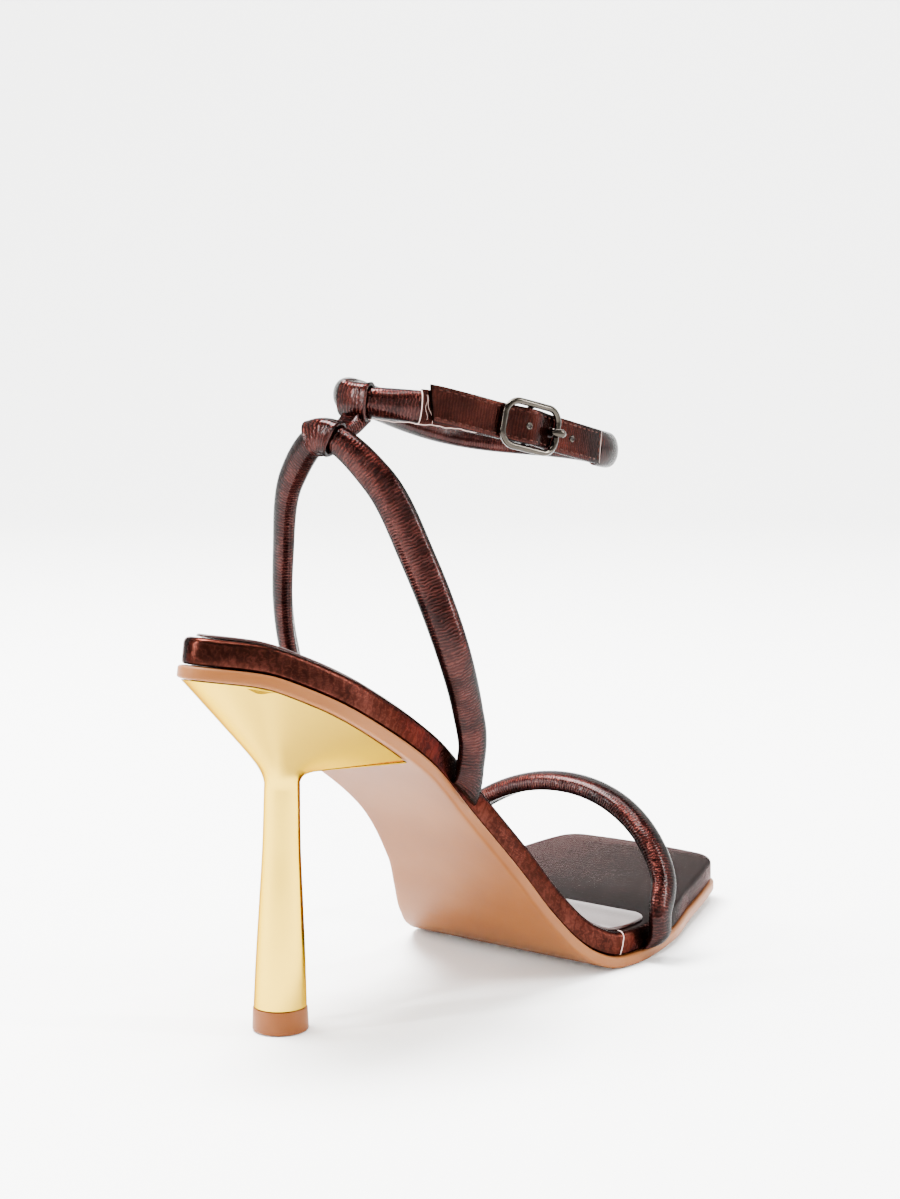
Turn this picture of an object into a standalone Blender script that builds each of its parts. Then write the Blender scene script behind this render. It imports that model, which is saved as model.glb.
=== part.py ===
"""Strappy heeled sandal, right shoe, worn size EU 38, standing on its heel tip and tread.

The footbed is a flat pattern bent along one line: insole, sock, outsole and the seat of
the heel all come from the same outline and the same line, each at its own depth.
The straps are padded strips lofted along their courses.
Metres, +X to the toe, +Y to the inner (medial) side of the foot, +Z up.
"""
import math

import bmesh
import bpy
import numpy as np
from mathutils import Vector

for old in list(bpy.data.objects):
    bpy.data.objects.remove(old, do_unlink=True)

# Sole sizes
INSOLE_RUN = 0.2109          # level distance from the back of the seat to the toe
BALL_WIDTH = 0.0761          # widest part of the insole
SEAT_RISE = 0.0906           # how far the seat stands above the tread
TOE_SPRING = 0.0032
SEAT_ROUND = 0.058           # length of the rounded back end
TOE_CORNER = 0.0065
TOE_BULGE = 0.0012
INSOLE_THICKNESS = 0.0064
INSOLE_EDGE = 0.0013         # rounding of the wrapped edge
OUTSOLE_THICKNESS = 0.0031
OUTSOLE_EDGE = 0.0005
OUTSOLE_LIP = 0.0008         # how far the outsole shows beside the insole
SOCK_THICKNESS = 0.0006
SOCK_INSET = 0.0028
SOCK_SHARE = 0.7355          # where the sock stops, as a share of the insole
SOCK_CORNER = 0.007
FIT_GAP = 0.0003             # between pieces that meet
SOLE_STEP = 0.0070           # length of a facet along the sole, the same in every layer

# Heel sizes
BREAST_SHARE = 0.264         # front edge of the heel seat, as a share of the insole
SEAT_INSET_BACK = 0.0009     # heel seat inside the outsole's edge
SEAT_INSET_BREAST = 0.0030
HEEL_FOOT_X = 0.0284
HEEL_FOOT_Y = -0.0005
HEEL_LEAN = 0.0018           # how far forward the post's top stands of its foot
POST_TOP = 0.0640            # where the post runs into the cup
POST_FOOT_RADIUS = 0.0066
CUP_FILLET = 0.0022
TIP_HEIGHT = 0.0058
TIP_RADIUS = 0.0070
TIP_EDGE = 0.0004

# Strap sizes
STRAP_WIDTH = 0.0086
STRAP_THICKNESS = 0.0050
STRAP_STEP = 0.0050          # length of a facet along a strap
SIDE_GAP = 0.0004            # between a strap's end and the insole's side
SLING_SHARE_OUTER = 0.376    # where the sling strap meets the insole
SLING_SHARE_INNER = 0.342
SLING_APEX_X = 0.0486
SLING_APEX_Y = 0.0013
SLING_APEX_Z = 0.1445
SLING_SPREAD = 0.0280        # greatest distance of a leg from the middle
SLING_START = 0.0098         # height over the outsole where the legs start to drop
SLING_TUCK = 0.0016          # how far back the legs' ends are tucked
TOE_STRAP_SHARE_OUTER = 0.705
TOE_STRAP_SHARE_INNER = 0.680
TOE_STRAP_WIDTH = 0.0090
TOE_STRAP_RISE = 0.0365
TOE_STRAP_LEAN = 0.0124      # how far the arch leans to the toe
TOE_STRAP_BULGE = 0.0026     # how far the arch stands out over its ends
TOE_STRAP_START = 0.0032

# Ankle strap sizes
ANKLE_BACK_X = 0.0610
ANKLE_LENGTH = 0.0900
ANKLE_WIDTH = 0.0528
ANKLE_EGG = 0.0034           # narrower at the back than at the front
ANKLE_SHIFT = 0.0010
ANKLE_BACK_Z = 0.1528
ANKLE_FRONT_Z = 0.1398
ANKLE_LEAN = 0.0024          # the outer side hangs lower
ANKLE_SAG = 0.0019
ANKLE_STRAP_WIDTH = 0.0082
ANKLE_FRONT_WIDTH = 0.0094
FLAT_WIDTH = 0.0088
FLAT_THICKNESS = 0.0016
BUCKLE_TURN = 78.6           # degrees round from the back to the middle of the buckle
PAD_TO_BUCKLE = 0.0303       # from the padded strap's back end to the buckle
BUCKLE_TO_PAD = 0.0295       # from the buckle to its front end
PAD_END = 0.0060             # length over which the padding thins at both ends
PAD_END_SHARE = 0.72
TAIL_LENGTH = 0.0276
TAIL_CUT = 0.0016            # slant of the tail's end, its lower corner cut back
TAIL_DRIFT = 0.0014

# Buckle sizes
FRAME_LENGTH = 0.0186
FRAME_EASE = 0.0004          # between the billet's edge and the frame
FRAME_CORNER = 0.0030
FRAME_WIRE = 0.00085         # radius
BAR_WIRE = 0.00055
PRONG_WIRE = 0.0007
BAR_LIFT = 0.0003
HUMP = 0.0019                # how far the billet rises over the bar
HUMP_SHARE = 0.76            # length of the rise as a share of the frame's
FOLD_LENGTH = 0.0040         # of the strap's thick end behind the bar
FOLD_END = 0.0014            # how far the fold reaches past the bar
SLOT_EASE = 0.0002
PRONG_HOLE = 0.0072          # from the bar to the hole in use
PRONG_HOLE_RADIUS = 0.0016
HOLE_PITCH = 0.0083
EYELET_RADIUS = 0.00095
EYELET_BARREL = 0.00055
EYELET_BORE = 0.0003
EYELET_FLANGE = 0.0003
EYELET_GAP = 0.0002

# Keeper sizes
KEEPER_WALL = 0.0010
KEEPER_WIDTH = 0.0070
KEEPER_EASE = 0.0004
KEEPER_SQUARE = 0.52         # 1 is a plain oval, less is squarer
SLING_GATHER = 0.20          # share by which the keeper draws each strap in
ANKLE_GATHER = 0.12
KEEPER_Y = 0.0012

# Footbed line: share of the run, share of the seat's rise, share of the toe spring
FOOTBED = (
    (0.000, 1.0000, 0.00),
    (0.057, 0.9750, 0.00),
    (0.110, 0.9240, 0.00),
    (0.212, 0.7935, 0.00),
    (0.310, 0.6520, 0.00),
    (0.399, 0.4800, 0.00),
    (0.473, 0.2720, 0.00),
    (0.510, 0.1560, 0.00),
    (0.546, 0.0650, 0.00),
    (0.570, 0.0240, 0.00),
    (0.600, 0.0000, 0.00),
    (0.640, 0.0000, 0.00),
    (0.700, 0.0000, 0.22),
    (0.770, 0.0000, 0.50),
    (0.885, 0.0000, 0.74),
    (1.000, 0.0000, 1.00),
)

# Outline: share of the insole's length, width and sideways shift as shares of the ball width
OUTLINE = (
    (0.00, 0.482, -0.022),
    (0.08, 0.562, -0.016),
    (0.16, 0.637, -0.005),
    (0.28, 0.574, -0.026),
    (0.40, 0.476, -0.037),
    (0.50, 0.572, -0.053),
    (0.60, 0.773, -0.028),
    (0.68, 0.966, 0.007),
    (0.76, 1.000, 0.058),
    (0.86, 0.903, 0.124),
    (0.94, 0.808, 0.170),
    (1.00, 0.704, 0.196),
)

# Post of the heel: share of its height, share of its foot's radius
POST = (
    (0.00, 1.000),
    (0.21, 0.932),
    (0.47, 0.820),
    (0.73, 0.712),
    (1.00, 0.664),
)

# Cup of the heel: share of the way from the post to the seat, share of the fillet's drop
CUP = (
    (0.00, 1.00),
    (0.02, 0.55),
    (0.06, 0.22),
    (0.13, 0.06),
    (0.30, 0.00),
    (0.64, 0.00),
    (1.00, 0.00),
)

# Section of a padded strap: shares of its width and of its thickness, flat side inwards
PADDED = (
    (-0.40, -0.50),
    (0.40, -0.50),
    (0.49, -0.30),
    (0.50, -0.02),
    (0.42, 0.24),
    (0.24, 0.43),
    (0.00, 0.50),
    (-0.24, 0.43),
    (-0.42, 0.24),
    (-0.50, -0.02),
    (-0.49, -0.30),
)

# Section of a flat strap, with eased edges
FLAT = (
    (-0.48, -0.50),
    (0.48, -0.50),
    (0.50, -0.32),
    (0.50, 0.32),
    (0.48, 0.50),
    (-0.48, 0.50),
    (-0.50, 0.32),
    (-0.50, -0.32),
)

# Sling strap between its ends: shares of its reach forward of the apex, of its spread, of its rise
SLING = (
    (0.705, -0.940, 0.270),
    (0.560, -0.990, 0.410),
    (0.330, -0.757, 0.680),
    (0.150, -0.443, 0.886),
    (0.000, 0.046, 1.000),
    (0.105, 0.543, 0.886),
    (0.260, 0.786, 0.680),
    (0.430, 0.890, 0.410),
    (0.540, 0.835, 0.285),
)

# Ends of a sewn-in strap: distance from the end in widths, shares of the thickness and the width
STRAP_END = (
    (0.0, 0.30, 0.66),
    (0.6, 0.44, 0.82),
    (1.6, 0.70, 0.86),
    (2.6, 0.82, 0.91),
    (4.5, 1.00, 1.00),
)

# Prong: shares of the way from the bar to the frame's front rail, and of the rail's lift
PRONG = (
    (0.10, 0.05),
    (0.34, -0.11),
    (0.54, -0.28),
    (0.67, -0.38),
    (0.77, -0.21),
    (0.81, 0.19),
    (0.80, 0.64),
    (0.78, 1.02),
    (0.81, 1.36),
    (0.89, 1.62),
    (1.00, 1.73),
    (1.17, 1.71),
)

# Finishes: sRGB colour, roughness, metallic
FINISHES = {
    "bronze_leather": ("5B2F24", 0.34, 0.35),
    "sock_lining": ("6B4A42", 0.16, 0.05),
    "tan_outsole": ("C9935F", 0.42, 0.0),
    "gold_heel": ("E6CF82", 0.22, 1.0),
    "tan_tip": ("A56F40", 0.50, 0.0),
    "nickel": ("C9C5BC", 0.18, 1.0),
}

TREAD_TOP = OUTSOLE_THICKNESS + FIT_GAP + INSOLE_THICKNESS
OUTSOLE_TOP = INSOLE_THICKNESS + FIT_GAP
OUTSOLE_BOTTOM = OUTSOLE_TOP + OUTSOLE_THICKNESS
UP = np.array([0.0, 0.0, 1.0])

part = bpy.data.collections.new("strappy_heeled_sandal")
cutters = bpy.data.collections.new("cutters")
bpy.context.scene.collection.children.link(part)
bpy.context.scene.collection.children.link(cutters)


# Finishes


def finish(slot, name):
    """A material for one piece, from the table of finishes."""
    colour, roughness, metallic = FINISHES[slot]
    channels = [int(colour[k:k + 2], 16) / 255.0 for k in (0, 2, 4)]
    linear = [c / 12.92 if c <= 0.04045 else ((c + 0.055) / 1.055) ** 2.4 for c in channels]
    material = bpy.data.materials.new(f"{name}_{slot}")
    material.use_nodes = True
    shader = material.node_tree.nodes["Principled BSDF"]
    shader.inputs["Base Color"].default_value = (*linear, 1.0)
    shader.inputs["Roughness"].default_value = roughness
    shader.inputs["Metallic"].default_value = metallic
    material.diffuse_color = (*linear, 1.0)
    return material


# Curves through tables


def graded(keys, values, at):
    """Smooth curve through a table's rows that never swings past them."""
    keys = np.asarray(keys, float)
    values = np.asarray(values, float)
    at = np.clip(np.asarray(at, float), keys[0], keys[-1])
    step = np.diff(keys)
    rise = np.diff(values) / step
    slope = np.zeros(len(keys))
    same = rise[:-1] * rise[1:] > 0
    lead = 2 * step[1:] + step[:-1]
    trail = step[1:] + 2 * step[:-1]
    safe = np.where(same, rise[:-1], 1.0), np.where(same, rise[1:], 1.0)
    slope[1:-1] = np.where(same, (lead + trail) / (lead / safe[0] + trail / safe[1]), 0.0)
    slope[0], slope[-1] = rise[0], rise[-1]
    return hermite(keys, values, slope, at)


def hermite(keys, values, slope, at):
    """Cubic pieces between keys, with the given slope at each key."""
    piece = np.clip(np.searchsorted(keys, at, side="right") - 1, 0, len(keys) - 2)
    step = keys[piece + 1] - keys[piece]
    t = (at - keys[piece]) / step
    return (
        (2 * t ** 3 - 3 * t ** 2 + 1) * values[piece]
        + (t ** 3 - 2 * t ** 2 + t) * step * slope[piece]
        + (3 * t ** 2 - 2 * t ** 3) * values[piece + 1]
        + (t ** 3 - t ** 2) * step * slope[piece + 1]
    )


def path_through(points, spacing):
    """Smooth path through points in space, with a point about every spacing."""
    points = np.asarray(points, float)
    keys = distance_along(points)
    slopes = np.gradient(points, keys, axis=0)
    count = int(round(keys[-1] / spacing)) + 1
    at = np.linspace(0.0, keys[-1], count)
    return np.stack([hermite(keys, points[:, k], slopes[:, k], at) for k in range(3)], axis=1)


def distance_along(points):
    """Distance of each point of a path from its start."""
    return np.concatenate([[0.0], np.cumsum(np.linalg.norm(np.diff(points, axis=0), axis=1))])


def unit(vectors):
    """Vectors brought to length one."""
    return vectors / np.linalg.norm(vectors, axis=-1, keepdims=True)


# Footbed


def footbed_line(steps=600):
    """Top of the insole from the side: x, z and the distance along it."""
    run, rise, spring = np.array(FOOTBED).T
    share = np.linspace(0.0, 1.0, steps)
    x = INSOLE_RUN * share
    z = TREAD_TOP + SEAT_RISE * graded(run, rise, share) + TOE_SPRING * graded(run, spring, share)
    return x, z, distance_along(np.stack([x, z], axis=1))


LINE_X, LINE_Z, LINE_S = footbed_line()
INSOLE_LENGTH = LINE_S[-1]
SLOPE_X = np.gradient(LINE_X, LINE_S)
SLOPE_Z = np.gradient(LINE_Z, LINE_S)


def bend(s, y, depth):
    """Points of the flat pattern bent along the footbed line, at a depth under the insole's top."""
    s, y = np.asarray(s, float), np.asarray(y, float)
    held = np.clip(s, 0.0, INSOLE_LENGTH)
    tx = np.interp(held, LINE_S, SLOPE_X)
    tz = np.interp(held, LINE_S, SLOPE_Z)
    x = np.interp(held, LINE_S, LINE_X) + (s - held) * tx + depth * tz
    z = np.interp(held, LINE_S, LINE_Z) + (s - held) * tz - depth * tx
    return np.stack(np.broadcast_arrays(x, y, z), axis=-1)


def half_width(s):
    """Half the pattern's width at a distance along it, before its ends are rounded."""
    share, width, _ = np.array(OUTLINE).T
    return 0.5 * BALL_WIDTH * graded(share * INSOLE_LENGTH, width, s)


def middle(s):
    """Sideways place of the pattern's middle line."""
    share, _, shift = np.array(OUTLINE).T
    return BALL_WIDTH * graded(share * INSOLE_LENGTH, shift, s)


def pattern(length, corner, across=6, bulge=0.0, seat_steps=9):
    """Closed outline in the flat: the back, the outer side, the front edge and the inner side."""
    turn = np.linspace(0.0, math.pi / 2, seat_steps + 1)[1:]
    seat = SEAT_ROUND * (1.0 - np.cos(turn))
    seat_half = half_width(seat) * np.sin(turn)
    start, stop = SEAT_ROUND, length - corner
    side = np.append(np.arange(start + SOLE_STEP, stop - SOLE_STEP / 3, SOLE_STEP), stop)
    side_half = half_width(side)
    if corner > 0.0:
        turn = np.linspace(0.0, math.pi / 2, 5)[1:]
        end = stop + corner * np.sin(turn)
        end_half = half_width(end) - corner * (1.0 - np.cos(turn))
    else:
        end, end_half = np.zeros(0), np.zeros(0)
    s = np.concatenate([seat, side, end])
    half = np.concatenate([seat_half, side_half, end_half])
    outer = np.stack([s, middle(s) - half], axis=1)
    inner = np.stack([s, middle(s) + half], axis=1)
    share = np.linspace(0.0, 1.0, across + 1)[1:-1, None]
    front = outer[-1] + share * (inner[-1] - outer[-1])
    front[:, 0] += bulge * 4 * share[:, 0] * (1 - share[:, 0])
    back = np.array([[0.0, middle(0.0)]])
    return np.concatenate([back, outer, front, inner[::-1]])


def widened(outline, outset):
    """An outline moved outwards, or inwards where the outset is below nothing."""
    before, after = np.roll(outline, 1, axis=0), np.roll(outline, -1, axis=0)
    into, out_of = unit(outline - before), unit(after - outline)
    bisector = unit(into + out_of)
    spread = np.clip(np.sum(bisector * into, axis=1), 0.5, 1.0)
    outward = np.stack([bisector[:, 1], -bisector[:, 0]], axis=1)
    outset = np.broadcast_to(outset, len(outline))
    return outline + outward * (outset / spread)[:, None]


def crossed_cap(count, across):
    """Faces that close a pattern's ring by bars straight across it."""
    last = (count - across) // 2
    faces = [(0, 1, count - 1)]
    faces += [(k, k + 1, count - k - 1, count - k) for k in range(1, last)]
    faces.append(tuple(range(last, count - last + 1)))
    return faces


# Solids


def add_object(name, verts, faces, slot):
    """A closed mesh object with its faces pointing out."""
    mesh = bpy.data.meshes.new(name)
    mesh.from_pydata([tuple(v) for v in verts], [], [tuple(f) for f in faces])
    mesh.update()
    solid = bpy.data.objects.new(name, mesh)
    part.objects.link(solid)
    return dress(solid, slot)


def dress(solid, slot):
    """Give a piece its finish and its shading."""
    solid.data.materials.clear()
    solid.data.materials.append(finish(slot, solid.name))
    solid.data.shade_smooth()
    solid.data.set_sharp_from_angle(angle=math.radians(35))
    return solid


def skin(name, rings, slot, cap=None):
    """Solid skinned over equal rings, the first and the last of them closed."""
    rings = np.asarray(rings, float)
    count = rings.shape[1]
    faces = []
    for ring in range(len(rings) - 1):
        low, high = ring * count, (ring + 1) * count
        for k in range(count):
            after = (k + 1) % count
            faces.append((low + k, low + after, high + after, high + k))
    cap = cap or [tuple(range(count))]
    top = (len(rings) - 1) * count
    faces += [tuple(reversed(face)) for face in cap]
    faces += [tuple(top + k for k in face) for face in cap]
    verts = rings.reshape(-1, 3)
    if signed_volume(verts, faces) < 0:
        faces = [tuple(reversed(face)) for face in faces]
    return add_object(name, verts, faces, slot)


def signed_volume(verts, faces):
    """Volume inside the faces, below nothing where they point inwards."""
    total = 0.0
    for face in faces:
        for k in range(1, len(face) - 1):
            a, b, c = verts[face[0]], verts[face[k]], verts[face[k + 1]]
            total += np.dot(a, np.cross(b, c))
    return total / 6.0


def slab(name, outline, rows, slot, across=6):
    """Piece of the footbed: rows give the inset and the depth of each ring, underside first."""
    rings = []
    for inset, depth in rows:
        ring = widened(outline, -inset)
        rings.append(bend(ring[:, 0], ring[:, 1], depth))
    return skin(name, rings, slot, crossed_cap(len(outline), across))


def strip_rings(path, outward, width, thickness, section):
    """Rings of a strap's section along a path, its thickness turned to the outward side."""
    tangent = unit(np.gradient(path, distance_along(path), axis=0))
    outward = outward - np.sum(outward * tangent, axis=1, keepdims=True) * tangent
    outward = unit(outward)
    across = np.cross(outward, tangent)
    section = np.array(section)
    width = np.broadcast_to(width, len(path))[:, None, None]
    thickness = np.broadcast_to(thickness, len(path))[:, None, None]
    return (
        path[:, None, :]
        + across[:, None, :] * section[None, :, 0:1] * width
        + outward[:, None, :] * section[None, :, 1:2] * thickness
    )


def wire(name, points, radius, cyclic=False, slot="nickel"):
    """Round wire through points, as a mesh with welded ends."""
    curve = bpy.data.curves.new(name, "CURVE")
    curve.dimensions = "3D"
    curve.bevel_depth = radius
    curve.bevel_resolution = 2
    curve.use_fill_caps = not cyclic
    spline = curve.splines.new("POLY")
    spline.points.add(len(points) - 1)
    for knot, point in zip(spline.points, points):
        knot.co = (*point, 1.0)
    spline.use_cyclic_u = cyclic
    drawn = bpy.data.objects.new(f"{name}_curve", curve)
    part.objects.link(drawn)
    solid = meshed(drawn, name)
    return dress(solid, slot)


def meshed(drawn, name):
    """Turn a curve object into a closed mesh object of the given name."""
    bpy.context.view_layer.update()
    evaluated = drawn.evaluated_get(bpy.context.evaluated_depsgraph_get())
    mesh = bpy.data.meshes.new_from_object(evaluated)
    weld(mesh)
    solid = bpy.data.objects.new(name, mesh)
    solid.matrix_world = drawn.matrix_world.copy()
    part.objects.link(solid)
    bpy.data.objects.remove(drawn, do_unlink=True)
    return solid


def weld(mesh, distance=1e-6):
    """Merge the vertices that a curve leaves doubled at its caps."""
    work = bmesh.new()
    work.from_mesh(mesh)
    bmesh.ops.remove_doubles(work, verts=work.verts, dist=distance)
    bmesh.ops.recalc_face_normals(work, faces=work.faces)
    work.to_mesh(mesh)
    work.free()


def move_to_cutters(tool):
    """Put a cutter in its own collection, hidden from renders."""
    part.objects.unlink(tool)
    cutters.objects.link(tool)
    tool.hide_render = True
    tool.display_type = "WIRE"
    return tool


def boolean(solid, tool, operation):
    """Cut a tool out of a solid, or join it on."""
    step = solid.modifiers.new(operation.lower(), "BOOLEAN")
    step.operation = operation
    step.solver = "EXACT"
    step.object = move_to_cutters(tool)
    return solid


def plug(name, centre, axis, radius, length, sides=16):
    """Cylinder about an axis, from a primitive."""
    bpy.ops.mesh.primitive_cylinder_add(vertices=sides, radius=radius, depth=length)
    solid = bpy.context.object
    solid.name = name
    for home in list(solid.users_collection):
        home.objects.unlink(solid)
    part.objects.link(solid)
    turn = Vector(axis).to_track_quat("Z", "Y").to_matrix().to_4x4()
    turn.translation = Vector(centre)
    solid.data.transform(turn)
    return solid


# Sole pieces


def footbed_pieces():
    """Outsole, insole and sock, from one outline."""
    outline = pattern(INSOLE_LENGTH, TOE_CORNER, bulge=TOE_BULGE)
    lip = widened(outline, OUTSOLE_LIP)
    edge = OUTSOLE_EDGE
    slab("outsole", lip, (
        (edge, OUTSOLE_BOTTOM),
        (0.0, OUTSOLE_BOTTOM - edge),
        (0.0, OUTSOLE_TOP + edge),
        (edge, OUTSOLE_TOP),
    ), "tan_outsole")
    edge = INSOLE_EDGE
    slab("insole", outline, (
        (edge * 0.5, INSOLE_THICKNESS),
        (0.0, INSOLE_THICKNESS - edge * 0.5),
        (0.0, edge),
        (edge * 0.3, edge * 0.3),
        (edge, 0.0),
    ), "bronze_leather")
    sock = pattern(INSOLE_LENGTH * SOCK_SHARE, SOCK_CORNER)
    slab("sock", widened(sock, -SOCK_INSET), (
        (0.0, -FIT_GAP),
        (0.0, -FIT_GAP - SOCK_THICKNESS * 0.6),
        (SOCK_THICKNESS * 0.6, -FIT_GAP - SOCK_THICKNESS),
    ), "sock_lining")


def heel_piece():
    """Gold heel: the seat under the outsole, the cup and the round post, in one solid."""
    outline = pattern(INSOLE_LENGTH * BREAST_SHARE, 0.0, across=8)
    share = outline[:, 0] / outline[:, 0].max()
    inset = SEAT_INSET_BACK + (SEAT_INSET_BREAST - SEAT_INSET_BACK) * share - OUTSOLE_LIP
    seat = widened(outline, -inset)
    rim = bend(seat[:, 0], seat[:, 1], OUTSOLE_BOTTOM + FIT_GAP)
    middle_x = HEEL_FOOT_X + HEEL_LEAN
    turn = np.arctan2(rim[:, 1] - HEEL_FOOT_Y, rim[:, 0] - middle_x)
    spoke = np.stack([np.cos(turn), np.sin(turn), np.zeros(len(turn))], axis=1)
    foot = TIP_HEIGHT + FIT_GAP
    top = POST_TOP - CUP_FILLET
    rings = []
    for height, radius in POST:
        centre = HEEL_FOOT_X + HEEL_LEAN * height, HEEL_FOOT_Y, foot + (top - foot) * height
        ring = centre + spoke * POST_FOOT_RADIUS * radius
        rings.append(ring)
    neck = rings[-1].copy()
    neck[:, 2] = POST_TOP
    for out, drop in CUP[1:]:
        ring = neck + (rim - neck) * out
        ring[:, 2] -= CUP_FILLET * drop
        rings.append(ring)
    cap = crossed_cap(len(outline), 8)
    skin("heel", rings, "gold_heel", cap)


def heel_tip_piece():
    """Top piece under the post, a short round block with eased edges."""
    bpy.ops.mesh.primitive_cone_add(
        vertices=32, radius1=TIP_RADIUS, radius2=TIP_RADIUS * 0.965, depth=TIP_HEIGHT,
        location=(HEEL_FOOT_X, HEEL_FOOT_Y, TIP_HEIGHT / 2))
    tip = bpy.context.object
    tip.name = "heel_tip"
    for home in list(tip.users_collection):
        home.objects.unlink(tip)
    part.objects.link(tip)
    eased = tip.modifiers.new("eased", "BEVEL")
    eased.width = TIP_EDGE
    eased.segments = 2
    eased.limit_method = "ANGLE"
    dress(tip, "tan_tip")


# Straps


def side_of_insole(x, z, side):
    """Sideways place of the insole's side, level with points seen from the side of the shoe."""
    x, z = np.atleast_1d(x), np.atleast_1d(z)
    near = np.argmin((LINE_X - x[:, None]) ** 2 + (LINE_Z - z[:, None]) ** 2, axis=1)
    s = LINE_S[near] + (x - LINE_X[near]) * SLOPE_X[near] + (z - LINE_Z[near]) * SLOPE_Z[near]
    return middle(s) + side * half_width(s)


def outsole_height(x):
    """Height of the outsole's top at a distance from the back."""
    lower = LINE_X + OUTSOLE_TOP * SLOPE_Z, LINE_Z - OUTSOLE_TOP * SLOPE_X
    return np.interp(x, *lower)


def side_seat(share, side, height, width, tuck=0.0):
    """Two points up a strap's end beside the insole, and which way is out of the side there."""
    foot = bend(INSOLE_LENGTH * share, 0.0, OUTSOLE_TOP)[0]
    step = 0.002
    far, thin, _ = np.array(STRAP_END)[:2].T
    points = []
    for k in (0, 1):
        x = foot - (tuck, 0.0)[k]
        z = outsole_height(foot) + height + far[k] * width
        out = SIDE_GAP + STRAP_THICKNESS * thin[k] / 2
        points.append((x, side_of_insole(x, z, side)[0] + side * out, z))
    ahead, behind = (side_of_insole(x + move, points[0][2], side)[0] for move in (step, -step))
    outward = unit(np.array([-side * (ahead - behind) / (2 * step), side, 0.0]))
    return np.array(points), outward


def dropped(ring, side):
    """A strap's last ring let down onto the outsole, as close to the insole's side as before."""
    lower = ring.copy()
    x = ring[:, 0]
    lower[:, 2] = outsole_height(x) + FIT_GAP / np.interp(x, LINE_X, SLOPE_X)
    lower[:, 1] += side_of_insole(x, lower[:, 2], side) - side_of_insole(x, ring[:, 2], side)
    return lower


def end_shares(path, width):
    """Shares of the full thickness and width along a strap that is thinner at both ends."""
    far, thin, narrow = np.array(STRAP_END).T
    along = distance_along(path)
    near_end = np.minimum(along, along[-1] - along)
    return graded(far * width, thin, near_end), graded(far * width, narrow, near_end)


def gathered(path, gather):
    """Shares of a strap's width where the keeper draws it in."""
    away = np.hypot(path[:, 1] - KEEPER_Y, np.maximum(path[:, 0] - ANKLE_BACK_X - KEEPER_WIDTH, 0.0))
    return 1 - gather * np.exp(-(away / (1.5 * KEEPER_WIDTH)) ** 2)


def sewn_strap(name, start, end, between, outward_of, width, gather=0.0):
    """Strap with both ends let down beside the insole; returns its rings."""
    (start_points, out_start), (end_points, out_end) = start, end
    path = path_through(np.concatenate([start_points, between, end_points[::-1]]), STRAP_STEP)
    outward = outward_of(path)
    outward[:2], outward[-2:] = out_start, out_end
    thin, narrow = end_shares(path, width)
    width = width * narrow * gathered(path, gather)
    rings = strip_rings(path, outward, width, STRAP_THICKNESS * thin, PADDED)
    rings = np.concatenate([[dropped(rings[0], -1)], rings, [dropped(rings[-1], 1)]])
    skin(name, rings, "bronze_leather")
    return rings


def sling_between():
    """The sling strap's points between its ends."""
    foot = bend(INSOLE_LENGTH * SLING_SHARE_OUTER, 0.0, OUTSOLE_TOP)
    forward, spread, up = np.array(SLING).T
    return np.stack([
        SLING_APEX_X + (foot[0] - SLING_APEX_X) * forward,
        SLING_SPREAD * spread,
        foot[2] + (SLING_APEX_Z - foot[2]) * up,
    ], axis=1)


def sling_strap_piece():
    """Strap from the waist of the sole up both sides and round behind the ankle."""
    start = side_seat(SLING_SHARE_OUTER, -1, SLING_START, STRAP_WIDTH, SLING_TUCK)
    end = side_seat(SLING_SHARE_INNER, 1, SLING_START, STRAP_WIDTH, SLING_TUCK)
    hub = bend(INSOLE_LENGTH * SLING_SHARE_OUTER, 0.0, 0.0)

    def outward_of(path):
        away = path - hub
        away[:, 2] = 0.0
        return unit(away)

    return sewn_strap(
        "sling_strap", start, end, sling_between(), outward_of, STRAP_WIDTH, SLING_GATHER)


def toe_strap_piece():
    """Arch over the toes."""
    start = side_seat(TOE_STRAP_SHARE_OUTER, -1, TOE_STRAP_START, TOE_STRAP_WIDTH)
    end = side_seat(TOE_STRAP_SHARE_INNER, 1, TOE_STRAP_START, TOE_STRAP_WIDTH)
    low, high = start[0][0], end[0][0]
    centre = (low + high) / 2
    swell = STRAP_THICKNESS * (1 - STRAP_END[0][1]) / 2
    turn = np.radians(np.linspace(22.0, 158.0, 8))
    between = low + (high - low) * (1 - np.cos(turn[:, None])) / 2
    between[:, 0] += TOE_STRAP_LEAN * np.sin(turn)
    between[:, 1] = centre[1] - ((high[1] - low[1]) / 2 + swell + TOE_STRAP_BULGE) * np.cos(turn)
    between[:, 2] += TOE_STRAP_RISE * np.sin(turn)

    def outward_of(path):
        away = path - centre
        away[:, 0] = 0.0
        return unit(away)

    sewn_strap("toe_strap", start, end, between, outward_of, TOE_STRAP_WIDTH)


# Ankle strap and buckle


def ankle_line(steps=720):
    """Closed course round the ankle from the back by the outer side, and the distance along it."""
    turn = np.linspace(0.0, 2 * math.pi, steps + 1)
    forward = (1 - np.cos(turn)) / 2
    x = ANKLE_BACK_X + ANKLE_LENGTH * forward
    y = ANKLE_SHIFT - ANKLE_WIDTH / 2 * np.sin(turn) + ANKLE_EGG * np.sin(2 * turn)
    z = ANKLE_BACK_Z + (ANKLE_FRONT_Z - ANKLE_BACK_Z) * forward - ANKLE_LEAN * np.sin(turn)
    z += ANKLE_SAG * (np.cos(turn) - np.cos(3 * turn)) / 2
    points = np.stack([x, y, z], axis=1)
    return points, distance_along(points)


ANKLE, ANKLE_S = ankle_line()
ANKLE_ROUND = ANKLE_S[-1]
BUCKLE_S = ANKLE_S[int(round(BUCKLE_TURN / 360.0 * (len(ANKLE_S) - 1)))]


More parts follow.
